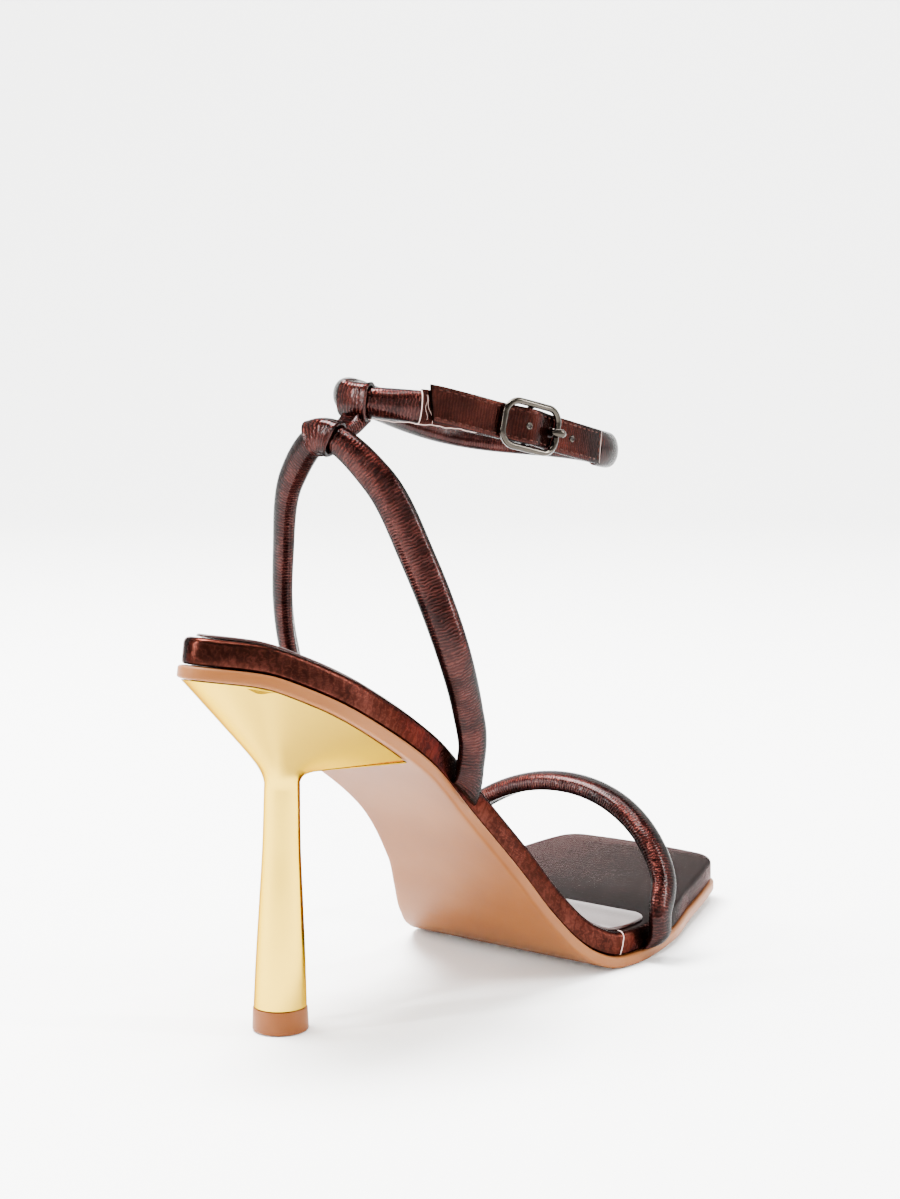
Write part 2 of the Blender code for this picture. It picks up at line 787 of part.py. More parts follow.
def on_ankle(along, side=0.0, lift=0.0):
    """Points by distance in front of the buckle's bar, up the strap's width and out from it."""
    along, side, lift = np.broadcast_arrays(*(np.asarray(v, float) for v in (along, side, lift)))
    at = (BUCKLE_S + along) % ANKLE_ROUND
    step = 0.0008
    point = ankle_point(at)
    tangent = unit(ankle_point(at + step) - ankle_point(at - step))
    out = unit(np.cross(tangent, UP))
    up = np.cross(out, tangent)
    return point + up * side[..., None] + out * lift[..., None]


def ankle_point(at):
    """Point of the ankle line at a distance from the back."""
    at = np.asarray(at) % ANKLE_ROUND
    return np.stack([np.interp(at, ANKLE_S, ANKLE[:, k]) for k in range(3)], axis=-1)


def ankle_strip(name, along, side, lift, width, thickness, section, cuts=(0.0, 0.0)):
    """Strap laid along the ankle line; cuts slant its ends by a distance over its width."""
    section = np.array(section)
    along, side, lift, width, thickness = np.broadcast_arrays(along, side, lift, width, thickness)
    slant = np.zeros((len(along), 1))
    slant[0], slant[-1] = cuts
    rings = on_ankle(
        along[:, None] + slant * section[None, :, 0],
        side[:, None] + width[:, None] * section[None, :, 0],
        lift[:, None] + thickness[:, None] * section[None, :, 1])
    return skin(name, rings, "bronze_leather"), rings


def ankle_strap_piece():
    """Padded strap from in front of the buckle, round the inner side and the back, to behind it."""
    start = BUCKLE_TO_PAD
    stop = ANKLE_ROUND - PAD_TO_BUCKLE
    count = int(round((stop - start) / STRAP_STEP)) + 1
    along = np.linspace(start, stop, count)
    share = (along - start) / (stop - start)
    width = ANKLE_FRONT_WIDTH + (ANKLE_STRAP_WIDTH - ANKLE_FRONT_WIDTH) * share
    width = width * gathered(on_ankle(along), ANKLE_GATHER)
    ends = np.minimum(share, 1 - share) * (stop - start)
    thickness = STRAP_THICKNESS * graded((0.0, PAD_END, stop), (PAD_END_SHARE, 1.0, 1.0), ends)
    return ankle_strip("ankle_strap", along, 0.0, 0.0, width, thickness, PADDED)[1]


BUCKLE_STRAP_FACE = -FLAT_THICKNESS / 4
FRAME_LIFT = BUCKLE_STRAP_FACE + 2 * FIT_GAP + FLAT_THICKNESS + FRAME_WIRE
EYELETS = (PRONG_HOLE - HOLE_PITCH, PRONG_HOLE + HOLE_PITCH)


def billet_lift(along):
    """How far out the billet's middle layer lies: it rises over the buckle's bar."""
    rest = BUCKLE_STRAP_FACE + FIT_GAP + FLAT_THICKNESS / 2
    near = np.clip(np.abs(along) / (FRAME_LENGTH * HUMP_SHARE / 2), 0.0, 1.0)
    return rest + HUMP * (1 - near ** 2) ** 2


def buckle_strap_piece():
    """Flat strap behind the buckle, its end folded round the bar and slotted for the prong."""
    stop = BAR_WIRE + FOLD_END
    start = FIT_GAP - PAD_TO_BUCKLE
    along = np.concatenate([
        np.linspace(start, -FOLD_LENGTH * 1.15, 8),
        FOLD_LENGTH * np.array([-0.75, -0.45, -0.20, 0.0, 0.20]),
        [stop],
    ])
    inner = BUCKLE_STRAP_FACE - FLAT_THICKNESS
    rise = np.clip(1 - (np.abs(along) / FOLD_LENGTH) ** 2, 0.0, 1.0) ** 1.5
    fold_face = billet_lift(0.0) - FLAT_THICKNESS / 2 - FIT_GAP
    outer = BUCKLE_STRAP_FACE + (fold_face - BUCKLE_STRAP_FACE) * rise
    strap, _ = ankle_strip(
        "buckle_strap", along, 0.0, (inner + outer) / 2, FLAT_WIDTH, outer - inner, FLAT)
    bar_centre = on_ankle(0.0, 0.0, BAR_LIFT)
    axis = on_ankle(0.0, FLAT_WIDTH, BAR_LIFT) - bar_centre
    bar_way = plug("bar_way", bar_centre, axis, BAR_WIRE + FIT_GAP, 2 * FLAT_WIDTH)
    boolean(strap, bar_way, "DIFFERENCE")
    slot_path = on_ankle(np.array([BAR_WIRE, 2 * stop]), 0.0, BAR_LIFT)
    slot_way = wire("prong_slot", slot_path, PRONG_WIRE + FIT_GAP + SLOT_EASE)
    boolean(strap, slot_way, "DIFFERENCE")


def billet_piece():
    """Flat strap from the front through the buckle to its free tail, with three holes."""
    rise = FRAME_LENGTH * HUMP_SHARE * 0.55
    tail = np.linspace(-TAIL_LENGTH, -rise, 9)
    over = np.linspace(-rise, rise, 15)[1:]
    front = np.linspace(rise, BUCKLE_TO_PAD - FIT_GAP, 7)[1:]
    along = np.concatenate([tail, over, front])
    free = np.clip((-along - FRAME_LENGTH / 2) / (TAIL_LENGTH - FRAME_LENGTH / 2), 0.0, 1.0)
    drift = TAIL_DRIFT * free ** 1.3
    billet, _ = ankle_strip(
        "billet", along, drift, billet_lift(along), FLAT_WIDTH, FLAT_THICKNESS, FLAT,
        cuts=(-TAIL_CUT, 0.0))
    length = 4 * FLAT_THICKNESS
    centre, axis = on_billet(PRONG_HOLE)
    boolean(billet, plug("prong_way", centre, axis, PRONG_HOLE_RADIUS, length), "DIFFERENCE")
    for k, along in enumerate(EYELETS):
        centre, axis = on_billet(along)
        way = plug(f"eyelet_way_{k + 1}", centre, axis, EYELET_BARREL + EYELET_GAP, length)
        boolean(billet, way, "DIFFERENCE")


def on_billet(along):
    """Middle of the billet at a distance from the bar, and the way out through its face."""
    step = 0.0004
    ahead = on_ankle(along + step, 0.0, billet_lift(along + step))
    behind = on_ankle(along - step, 0.0, billet_lift(along - step))
    up = on_ankle(along, step, 0.0) - on_ankle(along, -step, 0.0)
    return on_ankle(along, 0.0, billet_lift(along)), unit(np.cross(ahead - behind, up))


def eyelet_pieces():
    """Small nickel rings riveted in the billet's free holes."""
    for k, along in enumerate(EYELETS):
        centre, axis = on_billet(along)
        face = FLAT_THICKNESS / 2 + EYELET_GAP
        flange = plug(f"eyelet_{k + 1}", centre + axis * (face + EYELET_FLANGE / 2), axis,
                      EYELET_RADIUS, EYELET_FLANGE)
        barrel = plug(f"eyelet_barrel_{k + 1}", centre + axis * face / 2, axis,
                      EYELET_BARREL, face + EYELET_FLANGE)
        bore = plug(f"eyelet_bore_{k + 1}", centre, axis, EYELET_BORE, 6 * FLAT_THICKNESS)
        boolean(flange, barrel, "UNION")
        boolean(flange, bore, "DIFFERENCE")
        dress(flange, "nickel")


def buckle_frame_piece():
    """Rounded wire frame over the billet with a dropped bar under it."""
    half_long = FRAME_LENGTH / 2 - FRAME_WIRE
    half_high = FLAT_WIDTH / 2 + FRAME_EASE + FRAME_WIRE
    turn = np.radians(np.arange(0.0, 91.0, 22.5))
    along, side = [], []
    for quarter in range(4):
        face = turn + quarter * math.pi / 2
        reach = (1, -1, -1, 1)[quarter], (1, 1, -1, -1)[quarter]
        along.append(reach[0] * (half_long - FRAME_CORNER) + FRAME_CORNER * np.cos(face))
        side.append(reach[1] * (half_high - FRAME_CORNER) + FRAME_CORNER * np.sin(face))
    points = on_ankle(np.concatenate(along), np.concatenate(side), FRAME_LIFT)
    frame = wire("buckle_frame", points, FRAME_WIRE, cyclic=True)
    clear = FLAT_WIDTH / 2 + FIT_GAP + BAR_WIRE
    side = np.array([1.06, 1.0, 0.9, -0.9, -1.0, -1.06]) * clear
    lift = BAR_LIFT + (FRAME_LIFT - BAR_LIFT) * np.array([1.0, 0.5, 0.0, 0.0, 0.5, 1.0])
    bar = wire("buckle_bar", on_ankle(0.0, side, lift), BAR_WIRE)
    boolean(frame, bar, "UNION")


def buckle_prong_piece():
    """Prong from the bar up through the billet's hole onto the frame's front rail."""
    table = np.array(PRONG)
    reach = FRAME_LENGTH / 2 - FRAME_WIRE
    points = on_ankle(reach * table[:, 0], 0.0, FRAME_LIFT * table[:, 1])
    wire("buckle_prong", path_through(points, 0.0007), PRONG_WIRE)


def held(rings):
    """Middle and half size of the squarish oval that clears a strap inside the keeper."""
    rings = rings[rings[:, :, 0].max(axis=1) < ANKLE_BACK_X + ANKLE_LENGTH / 3]
    share = np.linspace(0.0, 1.0, 12)[:, None, None, None]
    points = (rings[:-1] + (rings[1:] - rings[:-1]) * share).reshape(-1, 3)
    inside = points[np.abs(points[:, 1] - KEEPER_Y) <= KEEPER_WIDTH / 2 + KEEPER_EASE][:, ::2]
    low, high = inside.min(axis=0), inside.max(axis=0)
    centre, half = (low + high) / 2, (high - low) / 2
    power = 2 / KEEPER_SQUARE
    reach = (np.abs((inside - centre) / half) ** power).sum(axis=1).max() ** (1 / power)
    return centre, half * reach + KEEPER_EASE


def keeper_piece(sling_rings, ankle_rings):
    """Leather figure of eight that holds the sling strap's top and the ankle strap's back."""
    rooms = held(sling_rings), held(ankle_rings)
    solids, holes = [], []
    for k, (centre, half) in enumerate(rooms):
        name = ("strap_keeper", "keeper_upper")[k]
        solids.append(oval_block(name, centre, half + KEEPER_WALL, KEEPER_WIDTH))
        holes.append(oval_block(f"{name}_hole", centre, half, 2 * KEEPER_WIDTH))
    (low, low_half), (high, high_half) = rooms
    web = bridge("keeper_web", (low[0], high[0]),
                 (high[1] - high_half[1] - KEEPER_WALL, low[1] + low_half[1] + KEEPER_WALL))
    keeper = solids[0]
    for more in (solids[1], web):
        boolean(keeper, more, "UNION")
    for hole in holes:
        boolean(keeper, hole, "DIFFERENCE")
    dress(keeper, "bronze_leather")


def oval_block(name, centre, half, width):
    """Squarish oval cylinder lying along y."""
    solid = plug(name, (0.0, 0.0, 0.0), (0.0, 1.0, 0.0), 1.0, width, sides=28)
    for vertex in solid.data.vertices:
        x, z = (math.copysign(abs(c) ** KEEPER_SQUARE, c) for c in (vertex.co.x, vertex.co.z))
        vertex.co = (centre[0] + x * half[0], KEEPER_Y + vertex.co.y, centre[1] + z * half[1])
    return solid


def bridge(name, x, z):
    """Short block between the keeper's two loops."""
    bpy.ops.mesh.primitive_cube_add(size=1.0)
    solid = bpy.context.object
    solid.name = name
    for home in list(solid.users_collection):
        home.objects.unlink(solid)
    part.objects.link(solid)
    for vertex in solid.data.vertices:
        vertex.co.x = (x[0] + x[1]) / 2 + vertex.co.x * (x[1] - x[0])
        vertex.co.y = KEEPER_Y + vertex.co.y * KEEPER_WIDTH * 0.9
        vertex.co.z = (z[0] + z[1]) / 2 + vertex.co.z * (z[1] - z[0])
    return solid


# The whole sandal


def centre_on_floor():
    """Move the part so that its origin is the middle of its bounding box, on the floor."""
    bpy.context.view_layer.update()
    graph = bpy.context.evaluated_depsgraph_get()
    corners = []
    for piece in part.objects:
        corners += [piece.evaluated_get(graph).matrix_world @ Vector(c) for c in piece.bound_box]
    corners = np.array(corners)
    low, high = corners.min(axis=0), corners.max(axis=0)
    origin = bpy.data.objects.new("sandal_origin", None)
    part.objects.link(origin)
    for piece in list(part.objects) + list(cutters.objects):
        if piece is not origin:
            piece.parent = origin
    origin.location = (-(low[0] + high[0]) / 2, -(low[1] + high[1]) / 2, 0.0)
    bpy.context.view_layer.update()


def build():
    footbed_pieces()
    heel_piece()
    heel_tip_piece()
    sling_rings = sling_strap_piece()
    toe_strap_piece()
    ankle_rings = ankle_strap_piece()
    buckle_strap_piece()
    billet_piece()
    eyelet_pieces()
    buckle_frame_piece()
    buckle_prong_piece()
    keeper_piece(sling_rings, ankle_rings)
    centre_on_floor()


build()
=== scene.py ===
# %% [markdown]
# # A strappy heeled sandal
#
# The solids of the sandal come ready made, at their real size: one for the outsole, one for the
# insole board, and so on. Here each of them gets the smooth surface, the seams and the finish
# that a shoemaker's hands leave on it. Every surface below is worked out with numpy as a grid of
# points, because a sandal is made of sheets bent along a last and of straps that follow a line.

# %% Load the solids
import math

import bpy
import numpy as np
from mathutils import Matrix, Vector


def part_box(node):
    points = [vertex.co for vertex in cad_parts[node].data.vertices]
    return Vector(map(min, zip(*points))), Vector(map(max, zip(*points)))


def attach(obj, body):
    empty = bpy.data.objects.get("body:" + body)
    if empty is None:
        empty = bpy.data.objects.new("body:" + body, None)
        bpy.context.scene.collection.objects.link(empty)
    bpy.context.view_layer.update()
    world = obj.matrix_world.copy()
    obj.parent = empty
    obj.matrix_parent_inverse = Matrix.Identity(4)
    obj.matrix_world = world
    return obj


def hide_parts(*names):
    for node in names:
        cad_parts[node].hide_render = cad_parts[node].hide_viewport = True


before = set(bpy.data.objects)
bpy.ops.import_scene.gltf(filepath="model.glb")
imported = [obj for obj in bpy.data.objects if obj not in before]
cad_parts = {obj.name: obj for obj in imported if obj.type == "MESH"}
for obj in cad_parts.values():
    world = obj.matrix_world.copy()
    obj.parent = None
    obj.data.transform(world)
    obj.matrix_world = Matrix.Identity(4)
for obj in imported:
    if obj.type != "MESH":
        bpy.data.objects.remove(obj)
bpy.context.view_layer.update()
print("solid pieces:", sorted(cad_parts))

# %% [markdown]
# ## Where things are
#
# The shoemaker's drawing has its zero at the back of the seat, in millimetres, while the solids
# have theirs under the middle of the shoe, in metres. The heel's tip is in both, so its place
# gives the step from one to the other.

# %% From the drawing's millimetres to the scene's metres
TIP_CENTRE = np.array([28.4, -0.5])
low, high = (np.array(corner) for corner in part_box("heel_tip"))
SHIFT = np.append((low + high)[:2] / 2 - TIP_CENTRE / 1000, 0.0)


def placed(points):
    """Points of the drawing in metres of the scene: divided by 1000, then shifted."""
    return np.asarray(points, float) / 1000 + SHIFT


def shown(name, data):
    """A new object of the scene that holds the data."""
    made = bpy.data.objects.new(name, data)
    bpy.context.scene.collection.objects.link(made)
    return made


# %% [markdown]
# ## The camera
#
# The picture is taken from behind and outside the shoe, a little above it, with a long lens. The
# lens shift moves the frame up without tilting the camera, so the heel stays upright.

# %% Set the camera
EYE = (-353.47, -360.75, 164.63)
AHEAD = (0.76666, 0.61532, -0.18334)
camera = shown("camera", bpy.data.cameras.new("camera"))
camera.location = placed(EYE)
camera.rotation_euler = Vector(AHEAD).to_track_quat("-Z", "Y").to_euler()
camera.data.sensor_width = 36.0
camera.data.lens = 66.06
camera.data.shift_y = 0.1354
camera.data.clip_start = 0.01
bpy.context.scene.camera = camera

# %% [markdown]
# ## Curves through tables
#
# A last is drawn by a few measured sections. Between them the line has to run smoothly and never
# swing past a section, or the sole would get waves. A cubic curve does this when its slope at
# each section is the weighted mean of the slopes on both sides, and level at a peak.

# %% Smooth curves


def hermite(keys, values, slope, at):
    """Cubic between keys: each end adds its value and its slope, weighted by cubic shares."""
    piece = np.clip(np.searchsorted(keys, at, side="right") - 1, 0, len(keys) - 2)
    step = keys[piece + 1] - keys[piece]
    t = (at - keys[piece]) / step
    return (
        (2 * t**3 - 3 * t**2 + 1) * values[piece] + (t**3 - 2 * t**2 + t) * step * slope[piece]
        + (3 * t**2 - 2 * t**3) * values[piece + 1] + (t**3 - t**2) * step * slope[piece + 1]
    )


def graded(keys, values, at):
    """Curve through a table whose slopes are the weighted harmonic mean of the neighbours'."""
    keys, values = np.asarray(keys, float), np.asarray(values, float)
    at = np.clip(np.asarray(at, float), keys[0], keys[-1])
    step, slope = np.diff(keys), np.zeros(len(keys))
    rise = np.diff(values) / step
    same = rise[:-1] * rise[1:] > 0
    lead, trail = 2 * step[1:] + step[:-1], step[1:] + 2 * step[:-1]
    before, after = np.where(same, rise[:-1], 1.0), np.where(same, rise[1:], 1.0)
    slope[1:-1] = np.where(same, (lead + trail) / (lead / before + trail / after), 0.0)
    slope[0], slope[-1] = rise[0], rise[-1]
    return hermite(keys, values, slope, at)


def run_of(points):
    """Distance from the start at each point: the running sum of the steps' lengths."""
    return np.append(0.0, np.cumsum(np.linalg.norm(np.diff(points, axis=0), axis=1)))


def course(points, spacing):
    """Cubic path through points in space, sampled at an even spacing."""
    points = np.asarray(points, float)
    keys = run_of(points)
    slope = np.gradient(points, keys, axis=0)
    at = np.linspace(0.0, keys[-1], int(keys[-1] / spacing) + 2)
    return np.stack([hermite(keys, points[:, k], slope[:, k], at) for k in range(3)], axis=1)


def unit(vectors):
    """Vectors divided by their lengths."""
    return vectors / np.linalg.norm(vectors, axis=-1, keepdims=True)


def square_to(tangent, vectors):
    """Unit vectors square to the tangents: each vector less its part along the tangent."""
    return unit(vectors - np.sum(vectors * tangent, axis=1, keepdims=True) * tangent)


def spun(count):
    """Evenly turned points on a circle of radius one, a cosine and a sine each."""
    turn = np.linspace(0.0, 2 * math.pi, count + 1)[:-1]
    return np.stack([np.cos(turn), np.sin(turn)], axis=1)


def looked_up(at, keys, points):
    """Points of a table at places along it, straight between its keys."""
    return np.stack([np.interp(at, keys, column) for column in points.T], axis=-1)


def ease(t):
    """Smooth step from nothing to one: three t squared less two t cubed."""
    t = np.clip(t, 0.0, 1.0)
    return t * t * (3 - 2 * t)


# %% [markdown]
# ## Turning grids of points into surfaces
#
# A strap, a wire and a heel are all rings of points one after the other. One function joins the
# rings with four-sided faces and measures how far each point lies along and around, in
# millimetres. Those two lengths become the UV map, so leather grain drawn on it keeps its real
# scale and follows the strap round every bend.

# %% Rings to faces


def patch(rings, looped=False, capped=True):
    """Faces over a grid of rings. Its map is the mean length along and the length around."""
    rings = np.asarray(rings, float)
    rows, columns = rings.shape[:2]
    # Six times the volume inside. If it is negative, the rings run the wrong way round.
    a, b = rings, np.roll(rings, -1, axis=1)
    volume = np.einsum("ijk,ijk->", a[:-1], np.cross(b[:-1], b[1:]) + np.cross(b[1:], a[1:]))
    if not looped:
        for ring, sign in ((rings[0], -1), (rings[-1], 1)):
            fan = np.cross(np.roll(ring, -1, axis=0), ring.mean(0))
            volume += sign * np.einsum("ij,ij->", ring, fan)
    if volume < 0:
        rings = rings[:, ::-1]
    around = run_of(np.concatenate([rings[rows // 2], rings[rows // 2][:1]]))
    along = np.append(0.0, np.cumsum(np.linalg.norm(np.diff(rings, axis=0), axis=2).mean(1)))
    last = rows if looped else rows - 1
    r, c = np.divmod(np.arange(last * columns), columns)
    r2, c2 = (r + 1) % rows, (c + 1) % columns
    corners = ((r, c), (r, c2), (r2, c2), (r2, c))
    faces = np.stack([row * columns + column for row, column in corners], axis=1)
    along = np.append(along, along[-1] + along[1])
    uv = np.stack([along[[r, r, r + 1, r + 1]], around[[c, c + 1, c + 1, c]]], axis=2)
    faces, uv = faces.tolist(), uv.transpose(1, 0, 2).reshape(-1, 2)
    if capped and not looped:
        first, top = np.arange(columns)[::-1], (rows - 1) * columns + np.arange(columns)
        faces += [first.tolist(), top.tolist()]
        flat = np.stack([np.zeros(columns), around[:-1]], axis=1)
        uv = np.concatenate([uv, flat[::-1], flat + [along[rows - 1], 0.0]])
    return rings.reshape(-1, 3), faces, uv


def piece(name, patches, material, slot, *nodes, sharp=40.0):
    """One object from patches: their points, faces and maps are put end to end."""
    verts = np.concatenate([points for points, _, _ in patches])
    starts = np.cumsum([0] + [len(points) for points, _, _ in patches])
    faces = [[k + start for k in face]
             for (_, some, _), start in zip(patches, starts) for face in some]
    mesh = bpy.data.meshes.new(name)
    mesh.from_pydata(placed(verts).tolist(), [], faces)
    layer = mesh.uv_layers.new(name="millimetres")
    layer.uv.foreach_set("vector", np.concatenate([uv for _, _, uv in patches]).ravel())
    mesh.shade_smooth()
    mesh.set_sharp_from_angle(angle=math.radians(sharp))
    mesh.materials.append(material)
    made = shown(name, mesh)
    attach(made, "root")
    if nodes:
        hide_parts(*nodes)
    print(f"{name}: {len(faces)} faces")
    return made


# %% [markdown]
# ## Materials
#
# The base of each finish is the Principled shader with the values of the real stuff. A small
# function adds a node, sets it and links it, and colours are given as a printer gives them, in
# sRGB hex, which one function turns into the linear light that Blender works in.

# %% Colours and nodes


def colour(code):
    """Linear colour of an sRGB hex code: straight near black, a power of 2.4 above."""
    c = np.array([int(code[k:k + 2], 16) for k in (0, 2, 4)]) / 255
    return (*np.where(c <= 0.04045, c / 12.92, ((c + 0.055) / 1.055) ** 2.4).tolist(), 1.0)


def add(tree, kind, settings=None, **inputs):
    """Adds a node, sets it, fills or links its inputs, and hands back its outputs."""
    node = tree.nodes.new("ShaderNode" + kind)
    for name, value in (settings or {}).items():
        setattr(node, name, value)
    for name, value in inputs.items():
        socket = node.inputs[int(name[1:]) if name[1:].isdigit() else name.replace("_", " ")]
        if isinstance(value, bpy.types.NodeSocket):
            tree.links.new(value, socket)
        else:
            socket.default_value = value
    return node.outputs


def new_material(name, **values):
    """A Principled material with the given socket values; returns it, its tree and its shader."""
    material = bpy.data.materials.new(name)
    material.use_nodes = True
    shader = material.node_tree.nodes["Principled BSDF"]
    for socket, value in values.items():
        shader.inputs[socket.replace("_", " ")].default_value = value
    return material, material.node_tree, shader


def ramp(tree, factor, stops):
    """A colour ramp with stops of place and hex colour."""
    node = add(tree, "ValToRGB", Fac=factor)[0].node
    while len(node.color_ramp.elements) < len(stops):
        node.color_ramp.elements.new(0.5)
    for element, (place, code) in zip(node.color_ramp.elements, stops):
        element.position, element.color = place, colour(code)
    return node.outputs["Color"]


# %% [markdown]
# ### Crinkled metallic leather
#
# The straps are goatskin with a bronze foil pressed on it, so nearly all of its colour is in the
# reflection. As the skin is turned over its padding the foil breaks into fine ribs straight
# across the strap, and each rib into short plates with dull creases between them. The colour is
# painted darker in the creases as shade, with random patches of tone over it. A wave pattern
# gives the ribs and a Voronoi pattern, squeezed along the strap, gives the plates. Real ribs are
# half a millimetre apart, too fine for the picture, so here they are 0.8 mm apart. A thin clear
# coat fills most of the relief, so its highlight is smoother. The flat straps and the insole's
# wrap are pulled tight, so their relief is finer.

# %% Leather for the straps
ONE_A_MILLIMETRE = 0.314  # the wave's scale that gives one rib a millimetre
COAT_RELIEF = 0.22  # the coat's relief as a share of the foil's
BRONZE = "bronze_leather"


def foiled_leather(name, rib, plate, colours, depth, **values):
    """Foiled skin: rib is the ribs' spacing and plate a plate's size, in mm of the map."""
    material, tree, shader = new_material(name, **values)
    where = add(tree, "UVMap", {"uv_map": "millimetres"})["UV"]
    stray = add(tree, "TexNoise", Vector=where, Scale=0.7, Detail=3.0)
    bent = add(tree, "VectorMath", {"operation": "MULTIPLY_ADD"}, _0=stray["Color"],
               _1=(plate[0] * 0.9, plate[1] * 0.6, 0.0), _2=where)
    squeezed = add(tree, "VectorMath", {"operation": "MULTIPLY"}, _0=bent[0],
                   _1=(1 / plate[0], 1 / plate[1], 0.0))
    cell = add(tree, "TexVoronoi", {"feature": "DISTANCE_TO_EDGE"}, Vector=squeezed[0],
               Scale=1.0, Randomness=0.8)
    plates = add(tree, "MapRange", {"interpolation_type": "SMOOTHSTEP"},
                 Value=cell["Distance"], From_Max=0.10, To_Min=0.5)
    ribs = add(tree, "TexWave", {"wave_profile": "SIN"}, Vector=bent[0],
               Scale=ONE_A_MILLIMETRE / rib, Distortion=0.9, Detail=2.0, Detail_Scale=1.4)
    fine = add(tree, "TexNoise", Vector=where, Scale=2.4, Detail=4.0, Roughness=0.6)
    patchy = add(tree, "TexNoise", Vector=where, Scale=0.14, Detail=3.0)
    relief = add(tree, "Math", {"operation": "MULTIPLY"},
                 _0=plates[0], _1=ribs["Fac"])
    height = add(tree, "Math", {"operation": "MULTIPLY_ADD"}, _0=fine["Fac"], _1=0.25,
                 _2=relief[0])
    # The colour is darker where the relief is low: painted shade in the creases, plus random
    # patches of tone.
    crease_shade_and_tone = add(tree, "Math", {"operation": "MULTIPLY_ADD"}, _0=relief[0], _1=0.34,
               _2=patchy["Fac"])
    tree.links.new(ramp(tree, crease_shade_and_tone[0], tuple(zip((0.30, 0.58, 0.90), colours))),
                   shader.inputs["Base Color"])
    rough = add(tree, "MapRange", Value=fine["Fac"], To_Min=0.14, To_Max=0.34)
    tree.links.new(rough[0], shader.inputs["Roughness"])
    for socket, share in (("Normal", 1.0), ("Coat Normal", COAT_RELIEF)):
        bump = add(tree, "Bump", Height=height[0], Strength=1.0, Distance=depth * share)
        tree.links.new(bump[0], shader.inputs[socket])
    return material


strap_leather = foiled_leather(
    "foiled_goatskin", 0.8, (1.5, 4.5), ("0E0403", "200C0A", "3B1D19"), 0.00010,
    Metallic=0.94, Coat_Weight=0.14, Coat_Roughness=0.05, Specular_Tint=colour("160A09"))
flat_leather = foiled_leather(
    "foiled_goatskin_flat", 0.8, (1.2, 2.6), ("1B0907", "250F0B", "341712"), 0.00004,
    Metallic=0.93, Coat_Weight=0.08, Coat_Roughness=0.08, Specular_Tint=colour("160A09"))
wrap_leather = foiled_leather(
    "foiled_goatskin_wrap", 2.4, (7.0, 0.8), ("1A0B08", "28110C", "3A1C16"), 0.000016,
    Metallic=0.92, Specular_Tint=colour("7A5450"))

# %% [markdown]
# ### Lining, sole and heel
#
# The sock is sheepskin rolled to a gloss, so it mirrors the light at a low angle. The outsole is
# tan board leather, brushed to a satin. The heel is moulded plastic plated with pale gold: all of
# its colour is in the reflection, so it is fully metallic. The tip is pressed polyurethane.

# %% Other finishes


def grained(name, code, scale, strength, depth, **values):
    """A plain finish with its grain as a bump from noise on the object's own place."""
    material, tree, shader = new_material(name, Base_Color=colour(code), **values)
    where = add(tree, "TexCoord")["Object"]
    grain = add(tree, "TexNoise", Vector=where, Scale=scale, Detail=6.0, Roughness=0.6)
    bump = add(tree, "Bump", Height=grain["Fac"], Strength=strength, Distance=depth)
    tree.links.new(bump[0], shader.inputs["Normal"])
    return material, tree, shader, where


lining, *_ = grained(
    "glazed_sheepskin", "301C1A", 900.0, 0.20, 0.00003, Roughness=0.24, Coat_Weight=0.05,
    Coat_Roughness=0.10, Specular_IOR_Level=0.22)
outsole_leather, tree, shader, where = grained(
    "brushed_sole_leather", "70421C", 700.0, 0.30, 0.00006, Roughness=0.50,
    Specular_IOR_Level=0.15)
blotch = add(tree, "TexNoise", Vector=where, Scale=28.0, Detail=4.0)
tree.links.new(ramp(tree, blotch["Fac"], ((0.3, "683A16"), (0.7, "784820"))),
               shader.inputs["Base Color"])
gold, *_ = grained("pale_gold_plating", "D0AB36", 60.0, 0.05, 0.0002, Metallic=1.0,
                   Roughness=0.15, Specular_Tint=colour("8C7A3C"))
tip_plastic, *_ = grained("pressed_polyurethane", "6C3A12", 900.0, 0.2, 0.00005,
                          Roughness=0.50, Specular_IOR_Level=0.2)
nickel, *_ = grained("polished_nickel", "36322D", 300.0, 0.04, 0.00005, Metallic=1.0,
                     Roughness=0.10)
thread, *_ = grained("waxed_thread", "34170F", 2500.0, 0.6, 0.00006, Roughness=0.6,
                     Specular_IOR_Level=0.1)
# Pale cut-edge colour, also used for painted highlights on wrinkles near the tail.
pale_edge_and_glint, *_ = grained("cut_edge_and_glint_leather", "C8ABA2", 1800.0, 0.5, 0.00008, Roughness=0.6)
# Near black: painted shade for the inside of the billet's holes.
hole_shade, *_ = grained("painted_hole_shade", "120806", 1500.0, 0.4, 0.00005, Roughness=0.8)

# %% [markdown]
# ## The footbed
#
# Insole, outsole, sock and heel seat are cut flat from one outline and then bent along one line,
# the side view of the last. So one function bends any flat point (how far along, how far across,
# how deep) and all the layers fit each other. Each row of the line's table is a share of the
# run, of the seat's rise and of the toe's spring. Each row of the outline's is a share of the
# length, then the width and the sideways place as shares of the width at the ball.

